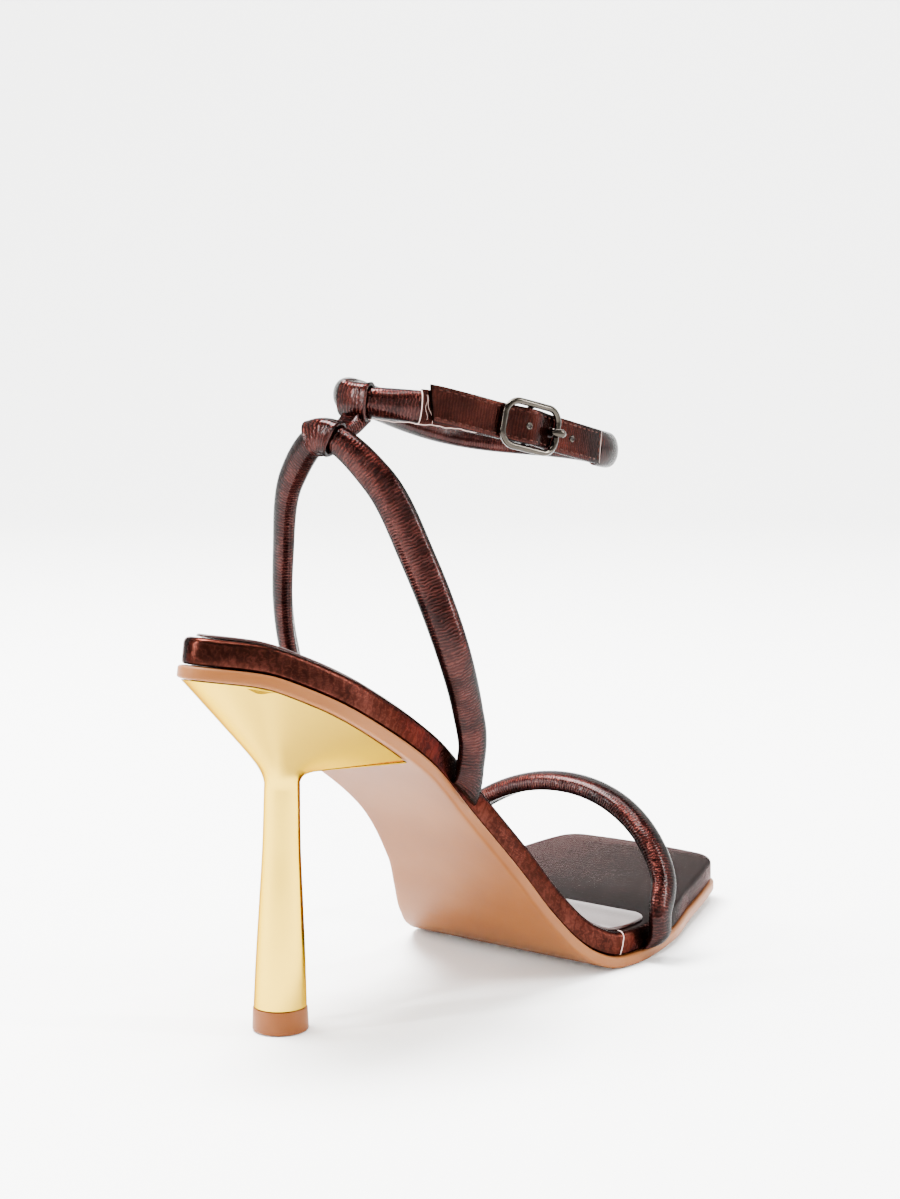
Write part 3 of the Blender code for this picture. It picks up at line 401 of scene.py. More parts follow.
# %% The last's line and outline
RUN, BALL, RISE, SPRING = 210.9, 76.1, 90.6, 3.2
INSOLE, OUTSOLE, GAP, LIP = 6.4, 3.1, 0.3, 0.8
SEAT_ROUND = 58.0
FOOTBED = np.array((
    (0.0, 1.0, 0.0), (0.057, 0.975, 0.0), (0.11, 0.924, 0.0), (0.212, 0.7935, 0.0),
    (0.31, 0.652, 0.0), (0.399, 0.48, 0.0), (0.473, 0.272, 0.0), (0.51, 0.156, 0.0),
    (0.546, 0.065, 0.0), (0.57, 0.024, 0.0), (0.6, 0.0, 0.0), (0.64, 0.0, 0.0),
    (0.7, 0.0, 0.22), (0.77, 0.0, 0.5), (0.885, 0.0, 0.74), (1.0, 0.0, 1.0))).T
OUTLINE = np.array((
    (0.00, 0.482, -0.022), (0.08, 0.562, -0.016), (0.16, 0.637, -0.005), (0.28, 0.574, -0.026),
    (0.40, 0.476, -0.037), (0.50, 0.572, -0.053), (0.60, 0.773, -0.028), (0.68, 0.966, 0.007),
    (0.76, 1.000, 0.058), (0.86, 0.903, 0.124), (0.94, 0.808, 0.170), (1.00, 0.704, 0.196))).T

share = np.linspace(0.0, 1.0, 600)
LINE = np.stack([
    RUN * share,
    OUTSOLE + GAP + INSOLE + RISE * graded(*FOOTBED[:2], share)
    + SPRING * graded(*FOOTBED[::2], share)], axis=1)
LINE_S = run_of(LINE)
LENGTH = LINE_S[-1]
LEAN = np.gradient(LINE, LINE_S, axis=0)
print(f"insole along its curve: {LENGTH:.1f} mm")


def bend(s, y, depth):
    """Flat point to space: walk s along the line, then go depth square under it."""
    held = np.clip(s, 0.0, LENGTH)
    tx, tz = (np.interp(held, LINE_S, LEAN[:, k]) for k in (0, 1))
    x = np.interp(held, LINE_S, LINE[:, 0]) + (s - held) * tx + depth * tz
    z = np.interp(held, LINE_S, LINE[:, 1]) + (s - held) * tz - depth * tx
    return np.stack(np.broadcast_arrays(x, y, z), axis=-1)


def half_width(s):
    """Half the outline's width at a distance along it."""
    return BALL / 2 * graded(OUTLINE[0] * LENGTH, OUTLINE[1], s)


def middle(s):
    """Sideways place of the outline's middle."""
    return BALL * graded(OUTLINE[0] * LENGTH, OUTLINE[2], s)


# %% [markdown]
# The outline runs round the shoe: from the back down the outer side, across the toe, and back
# up the inner side. The seat is a quarter ellipse on each side, and the toe's corners are
# quarter circles. Moving each point along the outline's outward direction widens or narrows it,
# which rounds an edge ring by ring.

# %% Outlines and bent sheets


def outline_of(length, corner, bulge=0.0, across=24, step=1.6):
    """Closed flat outline: quarter ellipse, sides, quarter circles at the front corners."""
    turn = np.linspace(0.0, math.pi / 2, 31)[1:]
    seat = SEAT_ROUND * (1 - np.cos(turn))
    side = np.linspace(SEAT_ROUND, length - corner, int((length - SEAT_ROUND) / step))[1:]
    s = np.concatenate([seat, side])
    half = np.concatenate([half_width(seat) * np.sin(turn), half_width(side)])
    if corner:
        turn = np.linspace(0.0, math.pi / 2, 11)[1:]
        end = length - corner + corner * np.sin(turn)
        s = np.append(s, end)
        half = np.append(half, half_width(end) - corner * (1 - np.cos(turn)))
    outer = np.stack([s, middle(s) - half], axis=1)
    inner = np.stack([s, middle(s) + half], axis=1)
    t = np.linspace(0.0, 1.0, across + 1)[1:-1, None]
    front = outer[-1] + t * (inner[-1] - outer[-1])
    front[:, 0] += bulge * 4 * t[:, 0] * (1 - t[:, 0])
    return np.concatenate([[[0.0, middle(0.0)]], outer, front, inner[::-1]])


def widened(outline, outset):
    """Each point moved along the outward normal, further where the outline turns."""
    into = unit(outline - np.roll(outline, 1, axis=0))
    along = unit(into + np.roll(into, -1, axis=0))
    spread = np.clip(np.sum(along * into, axis=1), 0.5, 1.0)
    return outline + np.stack([along[:, 1], -along[:, 0]], axis=1) * (outset / spread)[:, None]


def sheet_of(outline, rows, across=24):
    """Bent slab: rings by inset and depth, closed by bars straight across, mapped by s and y."""
    count = len(outline)
    insets, depths = np.array(rows).T
    flat = np.stack([widened(outline, -inset) for inset in insets])
    outward = unit(widened(outline, 1.0) - outline)
    rings = np.stack([bend(*ring.T, depth) for ring, depth in zip(flat, depths)])
    verts, faces, _ = patch(rings, capped=False)
    order = np.arange(count)
    if not np.allclose(verts[1], rings[0, 1]):
        flat, outward, order = flat[:, ::-1], outward[::-1], order[::-1]
    spread = flat + outward[None] * (depths - depths[-1])[:, None, None]
    last = (count - across) // 2
    bars = [(0, 1, count - 1)] + [(k, k + 1, count - k - 1, count - k) for k in range(1, last)]
    bars.append(tuple(range(last, count - last + 1)))
    for first in (0, (len(rows) - 1) * count):
        faces += [[int(order[k]) + first for k in face] for face in bars]
    return verts, faces, spread.reshape(-1, 2)[np.concatenate(faces)]


# %% [markdown]
# ### Outsole, insole and sock
#
# The outsole shows as a thin tan band with a rounded, slightly raised edge. The insole board is
# wrapped in the strap leather, drawn tight over a small edge radius, and the lining is glued on
# top of it and stops behind the toe strap. Each row of a sheet is an inset and a depth.

# %% Make the sole
SOLE_TOP, SOLE_UNDER = INSOLE + GAP, INSOLE + GAP + OUTSOLE
SOCK_LENGTH, SOCK_INSET = 0.7355, 2.8

outline = outline_of(LENGTH, 6.5, bulge=1.2)
piece("sole_sheet", [sheet_of(widened(outline, LIP), (
    (2.2, SOLE_UNDER), (1.5, SOLE_UNDER), (0.75, SOLE_UNDER - 0.02), (0.32, SOLE_UNDER - 0.14),
    (0.08, SOLE_UNDER - 0.36), (0.0, SOLE_UNDER - 0.65), (0.0, SOLE_TOP + 0.65),
    (0.08, SOLE_TOP + 0.36), (0.32, SOLE_TOP + 0.12), (0.75, SOLE_TOP + 0.02),
    (1.5, SOLE_TOP)))], outsole_leather, "tan_outsole", "outsole")
piece("insole_wrap", [sheet_of(outline, (
    (1.2, INSOLE), (0.65, INSOLE), (0.30, INSOLE - 0.16), (0.10, INSOLE - 0.42),
    (0.0, INSOLE - 0.8), (0.0, 3.4), (0.0, 1.5), (0.05, 1.1), (0.20, 0.70), (0.45, 0.36),
    (0.85, 0.12), (1.3, 0.0)))], wrap_leather, BRONZE, "insole")
piece("sock_lining", [sheet_of(widened(outline_of(LENGTH * SOCK_LENGTH, 7.0), -SOCK_INSET), (
    (0.0, -0.22), (0.0, -0.55), (0.08, -0.72), (0.24, -0.84), (0.5, -0.9)))],
    lining, "sock_lining", "sock")

# %% [markdown]
# ### The heel
#
# The heel starts as the seat, which has the outsole's outline at the back and a straight front
# edge, the breast. It runs down as a cone to a neck, turns over a small radius into the round
# post, and widens again to the tip. Points that lie in the same direction from the post's axis
# are joined by one line, so each ring blends from the outline to a circle.

# %% Make the heel and its tip
POST = np.array(((0.0, 1.0), (0.21, 0.932), (0.47, 0.82), (0.73, 0.712), (1.0, 0.664))).T
CUP = np.array(((0.0, 1.0), (0.02, 0.55), (0.06, 0.22), (0.13, 0.06), (0.30, 0.0), (1.0, 0.0))).T
POST_TOP, FILLET, TIP_HEIGHT, POST_RADIUS, LEANING = 64.0, 2.2, 5.8, 6.6, 1.8
BREAST, SEAT_INSET, BREAST_INSET = 0.264, 0.9, 2.1

seat = outline_of(LENGTH * BREAST, 0.0, across=32, step=0.8)
inset = SEAT_INSET + BREAST_INSET * seat[:, 0] / seat[:, 0].max() - LIP
rim = bend(*widened(seat, -inset).T, SOLE_UNDER + GAP)
direction = np.arctan2(rim[:, 1] - TIP_CENTRE[1], rim[:, 0] - TIP_CENTRE[0] - LEANING)
spoke = np.stack([np.cos(direction), np.sin(direction), np.zeros(len(direction))], axis=1)
height = np.linspace(0.0, 1.0, 40)
foot = TIP_HEIGHT + GAP
axis = np.stack([TIP_CENTRE[0] + LEANING * height, np.full_like(height, TIP_CENTRE[1]),
                 foot + (POST_TOP - FILLET - foot) * height], axis=1)
post = axis[:, None] + spoke[None] * POST_RADIUS * graded(*POST, height)[:, None, None]
out = np.concatenate([np.linspace(0.0, 0.13, 18)[1:], np.linspace(0.13, 1.0, 24)[1:]])
neck = post[-1].copy()
neck[:, 2] = POST_TOP
cup = neck + (rim - neck) * out[:, None, None]
cup[:, :, 2] -= FILLET * graded(*CUP, out)[:, None]
piece("heel_shell", [patch(np.concatenate([post, cup]))],
      gold, "gold_heel", "heel", sharp=30.0)

circle = spun(96)
profile = np.array(((6.7, 0.0), (6.9, 0.12), (7.0, 0.4), (6.9, 3.0), (6.78, 5.5), (6.68, 5.72),
                    (6.5, 5.8)))[:, None]
level = np.broadcast_to(profile[:, :, 1:], (len(profile), len(circle), 1))
tip_rings = np.concatenate([TIP_CENTRE + profile[:, :, :1] * circle, level], axis=2)
piece("top_piece", [patch(tip_rings)], tip_plastic, "tan_tip", "heel_tip")

# %% [markdown]
# ## Padded straps
#
# A padded strap is a cord of foam with the skin wrapped round it and glued flat inside. Its
# section is a D: flat where it touches the foot and domed outside. Carrying the section along a
# path needs two directions at each point: which way is out, and which way is across. Across is
# square to both the path and the way out.

# %% Sections and lofts
PADDED = np.array((
    (-0.4, -0.5), (0.0, -0.5), (0.4, -0.5), (0.49, -0.3), (0.5, -0.02), (0.42, 0.24),
    (0.24, 0.43), (0.0, 0.5), (-0.24, 0.43), (-0.42, 0.24), (-0.5, -0.02), (-0.49, -0.3)))
FLAT = np.array((
    (-0.46, -0.5), (-0.2, -0.5), (0.2, -0.5), (0.46, -0.5), (0.495, -0.36), (0.5, 0.0),
    (0.495, 0.36), (0.46, 0.5), (0.2, 0.5), (-0.2, 0.5), (-0.46, 0.5), (-0.495, 0.36),
    (-0.5, 0.0), (-0.495, -0.36)))


def smoothed(section, count):
    """Closed cubic through a section's points, sampled evenly by length."""
    wrapped = np.concatenate([section[-3:], section, section[:4]])
    keys = run_of(wrapped)
    slope = np.gradient(wrapped, keys, axis=0)
    at = np.linspace(keys[3], keys[3 + len(section)], count + 1)[:-1]
    return np.stack([hermite(keys, wrapped[:, k], slope[:, k], at) for k in (0, 1)], axis=1)


def lofted(path, outward, width, thickness, section):
    """Rings: path, plus across times the section's width, plus outward times its thickness."""
    tangent = unit(np.gradient(path, run_of(path), axis=0))
    outward = square_to(tangent, outward)
    across = np.cross(outward, tangent)
    width, thickness = (np.broadcast_to(v, len(path))[:, None, None] for v in (width, thickness))
    return (path[:, None] + across[:, None] * section[None, :, :1] * width
            + outward[:, None] * section[None, :, 1:] * thickness)


D_SECTION, FLAT_SECTION = smoothed(PADDED, 44), smoothed(FLAT, 48)

# %% [markdown]
# ### Where straps meet the sole
#
# The ends of the toe strap and the sling strap are skived thin and slipped down between the
# insole's side and the outsole's edge. So an end follows the side of the insole, and its last
# ring is let down onto the outsole. Each row of the end's table is a distance from it as a share
# of the strap's width, then what is left there of the thickness and of the width.

# %% Strap ends
STRAP_END = np.array((
    (0.0, 0.86, 0.96), (0.6, 0.87, 0.96), (1.6, 0.88, 0.96), (2.6, 0.92, 0.97), (4.5, 1.0, 1.0))).T
STRAP_THICK, SIDE_GAP, KEEPER_Y, KEEPER_WIDE, BACK_X = 5.0, 0.4, 1.2, 7.0, 61.0


def side_of_insole(x, z, side):
    """Sideways place of the insole's side beside a point seen from the shoe's side."""
    x, z = np.atleast_1d(x), np.atleast_1d(z)
    near = np.argmin((LINE[:, 0] - x[:, None]) ** 2 + (LINE[:, 1] - z[:, None]) ** 2, axis=1)
    s = LINE_S[near] + (x - LINE[near, 0]) * LEAN[near, 0] + (z - LINE[near, 1]) * LEAN[near, 1]
    return middle(s) + side * half_width(s)


def outsole_height(x):
    """Height of the outsole's top at a distance from the back."""
    return np.interp(x, LINE[:, 0] + SOLE_TOP * LEAN[:, 1], LINE[:, 1] - SOLE_TOP * LEAN[:, 0])


def strap_foot(share, side, height, width, tuck=(0.0, 0.0), twist=0.0, slack=0.0):
    """Two points up the insole's side, and the outward direction there, twisted to the back."""
    x0 = bend(LENGTH * share, 0.0, SOLE_TOP)[0]
    clear = slack + SIDE_GAP + math.sin(math.radians(twist)) * width * STRAP_END[2][0] / 2
    points = []
    for k in (0, 1):
        x = x0 - tuck[k]
        z = outsole_height(x0) + height + STRAP_END[0][k] * width
        out = side * (clear + STRAP_THICK * STRAP_END[1][k] / 2)
        points.append((x, side_of_insole(x, z, side)[0] + out, z))
    ahead, behind = (side_of_insole(x + move, points[0][2], side)[0] for move in (2.0, -2.0))
    outward = unit(np.array([-side * (ahead - behind) / 4.0, side, 0.0]))
    turned = Matrix.Rotation(math.radians(side * twist), 3, "Z") @ Vector(outward)
    return np.array(points), np.array(turned)


def tucked(ring, side, slack):
    """Rings from a strap's end down to the outsole, their depth shrinking like a quarter circle."""
    lower, x = ring.copy(), ring[:, 0]
    lower[:, 2] = outsole_height(x) + GAP / np.interp(x, LINE[:, 0], LEAN[:, 0])
    moved = side_of_insole(x, lower[:, 2], side) - side_of_insole(x, ring[:, 2], side)
    lower[:, 1] += moved - side * slack
    t = np.array((0.25, 0.45, 0.62, 0.76, 0.87, 0.95, 1.0))[:, None]
    rings = ring + (lower - ring) * t[:, :, None]
    inner = (side * rings[:, :, 1]).min(axis=1, keepdims=True)
    deep = side * rings[:, :, 1] - inner
    rings[:, :, 1] = side * (inner + deep * (0.3 + 0.7 * np.sqrt(1 - t**2)))
    return rings


def gathered(path, gather):
    """Share of the width left where the keeper draws a strap in: a bell curve round it."""
    away = np.hypot(path[:, 1] - KEEPER_Y, np.maximum(path[:, 0] - BACK_X - KEEPER_WIDE, 0.0))
    return 1 - gather * np.exp(-(away / (1.5 * KEEPER_WIDE)) ** 2)


def sewn_strap(start, end, between, way_out, width, gather=0.0, slack=0.0):
    """Strap along a cubic path whose two ends are thinned and let down beside the insole."""
    path = course(np.concatenate([start[0], between, end[0][::-1]]), 0.8)
    along = run_of(path)
    near = np.minimum(along, along[-1] - along)
    outward = way_out(path)
    for ending, distance in ((start[1], along), (end[1], along[-1] - along)):
        hold = 1 - ease((distance - 4.0) / 6.0)[:, None]
        outward = unit(outward * (1 - hold) + ending * hold)
    at, thinned, narrowed = STRAP_END
    thick = STRAP_THICK * graded(at * width, thinned, near)
    wide = width * graded(at * width, narrowed, near) * gathered(path, gather)
    rings = lofted(path, outward, wide, thick, D_SECTION)
    low_start, low_end = tucked(rings[0], -1, slack), tucked(rings[-1], 1, slack)
    return np.concatenate([low_start[::-1], rings, low_end]), path


# %% [markdown]
# ### The sling strap
#
# It leaves the waist of the sole on the outer side, rises behind the ankle through the keeper,
# and comes down on the inner side. Its way out points level, away from the foot's middle.

# %% Make the sling strap
SLING = np.array((
    (0.83, -0.935, 0.27), (0.58, -0.99, 0.41), (0.33, -0.757, 0.68), (0.15, -0.443, 0.886),
    (0.0, 0.046, 1.0), (0.105, 0.543, 0.886), (0.26, 0.786, 0.68), (0.43, 0.89, 0.41),
    (0.54, 0.835, 0.285))).T
SLING_WIDE, SLING_GATHER, SLING_FEET = 8.6, 0.20, ((0.376, -1), (0.342, 1))
SLING_BACK, SLING_HALF, SLING_TOP = 48.6, 28.0, 144.5

ends = [strap_foot(share, side, 9.8, SLING_WIDE, tuck=(2.5, 2.1), twist=14.0)
        for share, side in SLING_FEET]
foot_point, hub = (bend(LENGTH * SLING_FEET[0][0], 0.0, depth) for depth in (SOLE_TOP, 0.0))
between = np.stack([SLING_BACK + (foot_point[0] - SLING_BACK) * SLING[0], SLING_HALF * SLING[1],
                    foot_point[2] + (SLING_TOP - foot_point[2]) * SLING[2]], axis=1)
sling_rings, sling_path = sewn_strap(
    *ends, between, lambda path: unit((path - hub) * [1.0, 1.0, 0.0]), SLING_WIDE, SLING_GATHER)
sling = piece("sling_leather", [patch(sling_rings)], strap_leather, BRONZE, "sling_strap")

# %% [markdown]
# ### The toe strap
#
# An arch over the toes: half an ellipse between its two feet, leaning a little to the toe.

# %% Make the toe strap
TOE_WIDE, TOE_SLACK, TOE_FEET = 9.0, 1.4, ((0.705, -1), (0.680, 1))
ARCH_AHEAD, ARCH_HIGH, ARCH_BULGE = 12.4, 36.5, 1.0

start, end = (strap_foot(share, side, 4.4, TOE_WIDE, slack=TOE_SLACK) for share, side in TOE_FEET)
a, b = start[0][0], end[0][0]
turn = np.radians(np.linspace(22.0, 158.0, 8))
arch = a + (b - a) * (1 - np.cos(turn[:, None])) / 2
arch[:, 0] += ARCH_AHEAD * np.sin(turn)
arch[:, 1] = (a + b)[1] / 2 - ((b - a)[1] / 2 + ARCH_BULGE) * np.cos(turn)
arch[:, 2] += ARCH_HIGH * np.sin(turn)
toe_rings, _ = sewn_strap(
    start, end, arch, lambda path: unit((path - (a + b) / 2) * [0.0, 1.0, 1.0]), TOE_WIDE,
    slack=TOE_SLACK)
toe_strap = piece("toe_leather", [patch(toe_rings)], strap_leather, BRONZE, "toe_strap")

# %% [markdown]
# ## The ankle strap
#
# Its course is an egg laid round the ankle, a little higher at the back. Everything on it, from
# the padding to the stitches, is placed by three lengths: how far in front of the buckle's bar,
# how far up the strap, and how far out from it.

# %% The ankle line
ANKLE_LONG, ANKLE_WIDE, EGG = 90.0, 52.8, 3.4
BACK_Z, DROP, TILT, DIP = 152.8, 13.0, 2.4, 0.95
BUCKLE_ANGLE = 78.6

q = np.linspace(0.0, 2 * math.pi, 721)
forward = (1 - np.cos(q)) / 2
ANKLE = np.stack([
    BACK_X + ANKLE_LONG * forward,
    1.0 - ANKLE_WIDE / 2 * np.sin(q) + EGG * np.sin(2 * q),
    BACK_Z - DROP * forward - TILT * np.sin(q) + DIP * (np.cos(q) - np.cos(3 * q))], axis=1)
ANKLE_S = run_of(ANKLE)
ROUND = ANKLE_S[-1]
BUCKLE_S = ANKLE_S[int(round(BUCKLE_ANGLE / 360 * 720))]


def ankle_point(at):
    """Point of the ankle line at a distance from the back."""
    return looked_up(at % ROUND, ANKLE_S, ANKLE)


def on_ankle(along, side=0.0, lift=0.0):
    """Point by distance in front of the bar, height up the strap and distance out of it."""
    along, side, lift = np.broadcast_arrays(*(np.asarray(v, float) for v in (along, side, lift)))
    at = BUCKLE_S + along
    tangent = unit(ankle_point(at + 0.8) - ankle_point(at - 0.8))
    out = unit(np.cross(tangent, [0.0, 0.0, 1.0]))
    return ankle_point(at) + np.cross(out, tangent) * side[..., None] + out * lift[..., None]


print(f"ankle strap round: {ROUND:.0f} mm")

# %% [markdown]
# ### The padded part
#
# It runs from just in front of the buckle, round the inner side and the back, to just behind
# it. At each end the padding stops and the skin is turned in, which leaves a pale cut edge.

# %% Make the padded ankle strap
TO_PAD, FROM_PAD, ANKLE_GATHER = 29.5, 30.3, 0.12
FRONT_WIDE, BACK_WIDE = 9.4, 8.2


def strip(along, side, lift, width, thickness, section, cut=0.0):
    """Rings on the ankle line. The cut slants the first ring by a length over the width."""
    side, lift, width, thickness = (
        np.broadcast_to(v, len(along))[:, None] for v in (side, lift, width, thickness))
    slant = np.zeros((len(along), 1))
    slant[:6] = cut * np.linspace(1.0, 0.0, 6)[:, None]
    across, outward = section.T
    return on_ankle(along[:, None] + slant * across, side + width * across,
                    lift + thickness * outward)


along = np.linspace(TO_PAD, ROUND - FROM_PAD, 260)
share = (along - TO_PAD) / (along[-1] - TO_PAD)
to_end = np.minimum(share, 1 - share) * (along[-1] - TO_PAD)
wide = (FRONT_WIDE + (BACK_WIDE - FRONT_WIDE) * share) * gathered(on_ankle(along), ANKLE_GATHER)
thick = STRAP_THICK * graded((0.0, 6.0, 200.0), (0.72, 1.0, 1.0), to_end)
padded_rings = strip(along, 0.0, 0.0, wide, thick, D_SECTION)
ankle_strap = piece("ankle_leather", [patch(padded_rings)],
                    strap_leather, BRONZE, "ankle_strap")

# %% [markdown]
# ### Buckle strap and billet
#
# Behind the buckle a flat strap folds round the bar. The billet comes from the front, rises over
# the bar inside the frame, and ends in a free tail, cut at a slant. Its rise is a bell made of
# one less the square of the distance, squared.

# %% Make the flat straps
FLAT_WIDE, FLAT_THICK, FRAME_LONG, WIRE, BAR = 8.8, 1.6, 18.6, 0.85, 0.55
STRAP_FACE, BAR_LIFT, BELL = -0.4, 0.3, 1.9
FRAME_LIFT = STRAP_FACE + 2 * GAP + FLAT_THICK + WIRE
TAIL, TAIL_DRIFT, TAIL_SLANT, HOLE, PITCH = 27.6, 1.4, -1.6, 7.2, 8.3


def billet_lift(along):
    """How far out the billet's middle lies: level, with a bell over the bar."""
    near = np.clip(np.abs(along) / (FRAME_LONG * 0.38), 0.0, 1.0)
    return STRAP_FACE + GAP + FLAT_THICK / 2 + BELL * (1 - near**2) ** 2


def drift(along):
    """How far up the free tail strays: from nothing at the frame to the most at its end."""
    loose = np.clip((-along - FRAME_LONG / 2) / (TAIL - FRAME_LONG / 2), 0.0, 1.0)
    return TAIL_DRIFT * loose**1.3


along = np.linspace(GAP - FROM_PAD, BAR + 1.4, 90)
rise = np.clip(1 - (np.abs(along) / 4.0) ** 2, 0.0, 1.0) ** 1.5
face = STRAP_FACE + (billet_lift(0.0) - FLAT_THICK / 2 - GAP - STRAP_FACE) * rise
inner_face = STRAP_FACE - FLAT_THICK
piece("buckle_leather", [patch(strip(
    along, 0.0, (inner_face + face) / 2, FLAT_WIDE, face - inner_face, FLAT_SECTION))],
    flat_leather, BRONZE, "buckle_strap")
along = np.linspace(-TAIL, TO_PAD - GAP, 160)
piece("billet_leather", [patch(strip(
    along, drift(along), billet_lift(along), FLAT_WIDE, FLAT_THICK, FLAT_SECTION, TAIL_SLANT))],
    flat_leather, BRONZE, "billet")

# %% [markdown]
# ### Stitches, cut edges and painted glints
#
# The billet is sewn along both edges and across its front end, a stitch every two millimetres,
# set a little into the skin. Each stitch is a short six-sided bead, and all of them are one
# object. Where the skin was cut, its pale core shows as a thin line. Near the tail two thin pale
# lines are painted highlights on wrinkles of the skin.

# %% Make the stitches, the pale edges and the painted glints
STITCH_STEP, STITCH_LONG, STITCH_WIDE = 2.0, 1.35, 0.42


def beads(centres, ahead, up):
    """Short spindles: six-sided rings whose radius is the sine of the share along."""
    t = np.linspace(0.06, 0.94, 5)[:, None, None]
    radius = STITCH_WIDE / 2 * np.sin(t * math.pi) ** 0.5
    circle = spun(6)
    across = unit(np.cross(up, ahead))
    out = []
    for centre, a, u, c in zip(centres, unit(ahead), unit(up), across):
        ring = circle[:, :1] * c + circle[:, 1:] * u
        out.append(patch(centre + a * STITCH_LONG * (t - 0.5) + ring * radius))
    return out


def on_billet(along, side, lift):
    """Point by distance in front of the bar, height up the billet and distance off its face."""
    return on_ankle(along, drift(along) + side, billet_lift(along) + FLAT_THICK / 2 + lift)


def sewn(along, side, lift, ahead, up):
    """Stitches on the billet, each aimed at the spot so far ahead of it and up from it."""
    here = on_billet(along, side, lift)
    aim = on_billet(along + ahead, side + up, lift) - here
    return beads(here, aim, on_billet(along, side, lift + 1.0) - here)


edge = FLAT_WIDE / 2 - 1.0
at = np.arange(-TAIL + 1.6, TO_PAD - 2.0, STITCH_STEP)
rows = [*sewn(at, -edge, -0.02, 0.3, 0.0), *sewn(at, edge, -0.02, 0.3, 0.0),
        *sewn(TO_PAD - 1.5, np.linspace(-2.9, 2.9, 4), 0.0, 0.0, 0.3)]
piece("stitches", rows, thread, BRONZE)


def pale_line(points, radius, sides=8):
    """Thin pale thread along points: circles square to the line."""
    tangent = unit(np.gradient(points, run_of(points), axis=0))
    out = unit(np.cross(tangent, [0.13, 0.31, 0.94]))
    circle = spun(sides)
    ring = circle[:, :1] * out[:, None] + circle[:, 1:] * np.cross(tangent, out)[:, None]
    taper = np.sin(np.linspace(0.0, math.pi, len(points))) ** 0.25 * radius + 0.02
    return patch(points[:, None] + ring * taper[:, None, None])


pad_end = np.concatenate([padded_rings[-1], padded_rings[-1][:1]])
at = np.linspace(-FROM_PAD - 16.0, -2.0, 60)
ripple = 0.12 * np.sin(at * 0.9) + 0.06 * np.sin(at * 2.3 + 1.0)
belly = on_ankle(at, -4.1 + ripple, np.where(at < -FROM_PAD, 0.6, -0.3))
side = np.linspace(-FLAT_WIDE / 2 + 0.2, FLAT_WIDE / 2 - 0.2, 24)
pale_lines_and_glints = [pale_line(pad_end, 0.11), pale_line(belly, 0.09),
         pale_line(on_billet(TO_PAD - 0.5, side, 0.02), 0.05)]
t = np.linspace(0.0, 1.0, 40)
# Two pale lines near the tail are painted highlights on wrinkles of the skin.
for k, (lean, drop) in enumerate(((0.6, 6.2), (2.4, 7.0))):
    wrinkle_glint = -TAIL - 1.2 + lean * t + 0.25 * np.sin(9.0 * t + k)
    pale_lines_and_glints.append(pale_line(on_ankle(wrinkle_glint, 3.2 - drop * t, -0.38), 0.05))
piece("cut_edge_lines_and_glints", pale_lines_and_glints, pale_edge_and_glint, BRONZE)

# %% [markdown]
# ## The buckle
#
# A frame of nickel wire with a bar across its middle, a prong that lies on the front rail, and
# small eyelets in the spare holes. Wires are circles carried along a path, and the frame's path
# is a rounded rectangle laid on the curved strap.

# %% Make the buckle


def wire(path, radius, up, looped=False, sides=20, flatten=1.0):
    """Rings of a round or flattened wire: across and up are scaled and square to the path."""
    if looped:
        tangent = unit(np.roll(path, -1, axis=0) - np.roll(path, 1, axis=0))
    else:
        tangent = unit(np.gradient(path, run_of(path), axis=0))
    up = square_to(tangent, up)
    across = np.cross(tangent, up)
    circle = spun(sides)
    radius = np.broadcast_to(radius, len(path))[:, None, None]
    return path[:, None] + radius * (
        circle[:, :1] * across[:, None] + flatten * circle[:, 1:] * up[:, None])


half_long, half_high, corner = FRAME_LONG / 2 - WIRE, FLAT_WIDE / 2 + 0.4 + WIRE, 3.8
bend_turn = np.linspace(0.0, math.pi / 2, 14)
x_side, y_side = [], []
for quarter, (sx, sy) in enumerate(((1, 1), (-1, 1), (-1, -1), (1, -1))):
    x_side.append(sx * (half_long - corner) + corner * np.cos(bend_turn + quarter * math.pi / 2))
    y_side.append(sy * (half_high - corner) + corner * np.sin(bend_turn + quarter * math.pi / 2))
x_side, y_side = np.concatenate(x_side), np.concatenate(y_side)
rail = on_ankle(x_side, y_side, FRAME_LIFT)
out_of = on_ankle(x_side, y_side, FRAME_LIFT + 1.0) - rail
bar_half = FLAT_WIDE / 2 + GAP + BAR
side = np.linspace(-1.06, 1.06, 60) * bar_half
dip = BAR_LIFT + (FRAME_LIFT - BAR_LIFT) * ease((np.abs(side) / bar_half - 0.9) / 0.16)
bar = on_ankle(0.0, side, dip)
ahead = on_ankle(1.0, side, dip) - bar
piece("frame_wire", [
    patch(wire(rail, WIRE, out_of, looped=True, flatten=0.85), looped=True),
    patch(wire(bar, BAR, ahead))], nickel, "nickel", "buckle_frame")

PRONG_RADIUS, PRONG_POINT = 0.7, 1.2
PRONG = np.array((
    (0.10, 0.05), (0.34, -0.11), (0.54, -0.28), (0.67, -0.38), (0.77, -0.21), (0.81, 0.19),
    (0.80, 0.64), (0.78, 1.02), (0.81, 1.36), (0.89, 1.62), (1.00, 1.73), (1.17, 1.71)))
path = course(on_ankle(half_long * PRONG[:, 0], 0.0, FRAME_LIFT * PRONG[:, 1]), 0.25)
to_point = run_of(path)[-1] - run_of(path)
thin = PRONG_RADIUS * np.sqrt(np.clip(to_point / PRONG_POINT, 0.04, 1.0))
up_strap = on_ankle(half_long, 1.0) - on_ankle(half_long)
piece("prong_wire", [patch(wire(path, thin, up_strap, flatten=1.5))],
      nickel, "nickel", "buckle_prong")

# %% [markdown]
# An eyelet is a turned ring: its profile starts inside the hole, rolls over the face and comes
# down again. A dark disc under it is painted shade where the hole goes through.

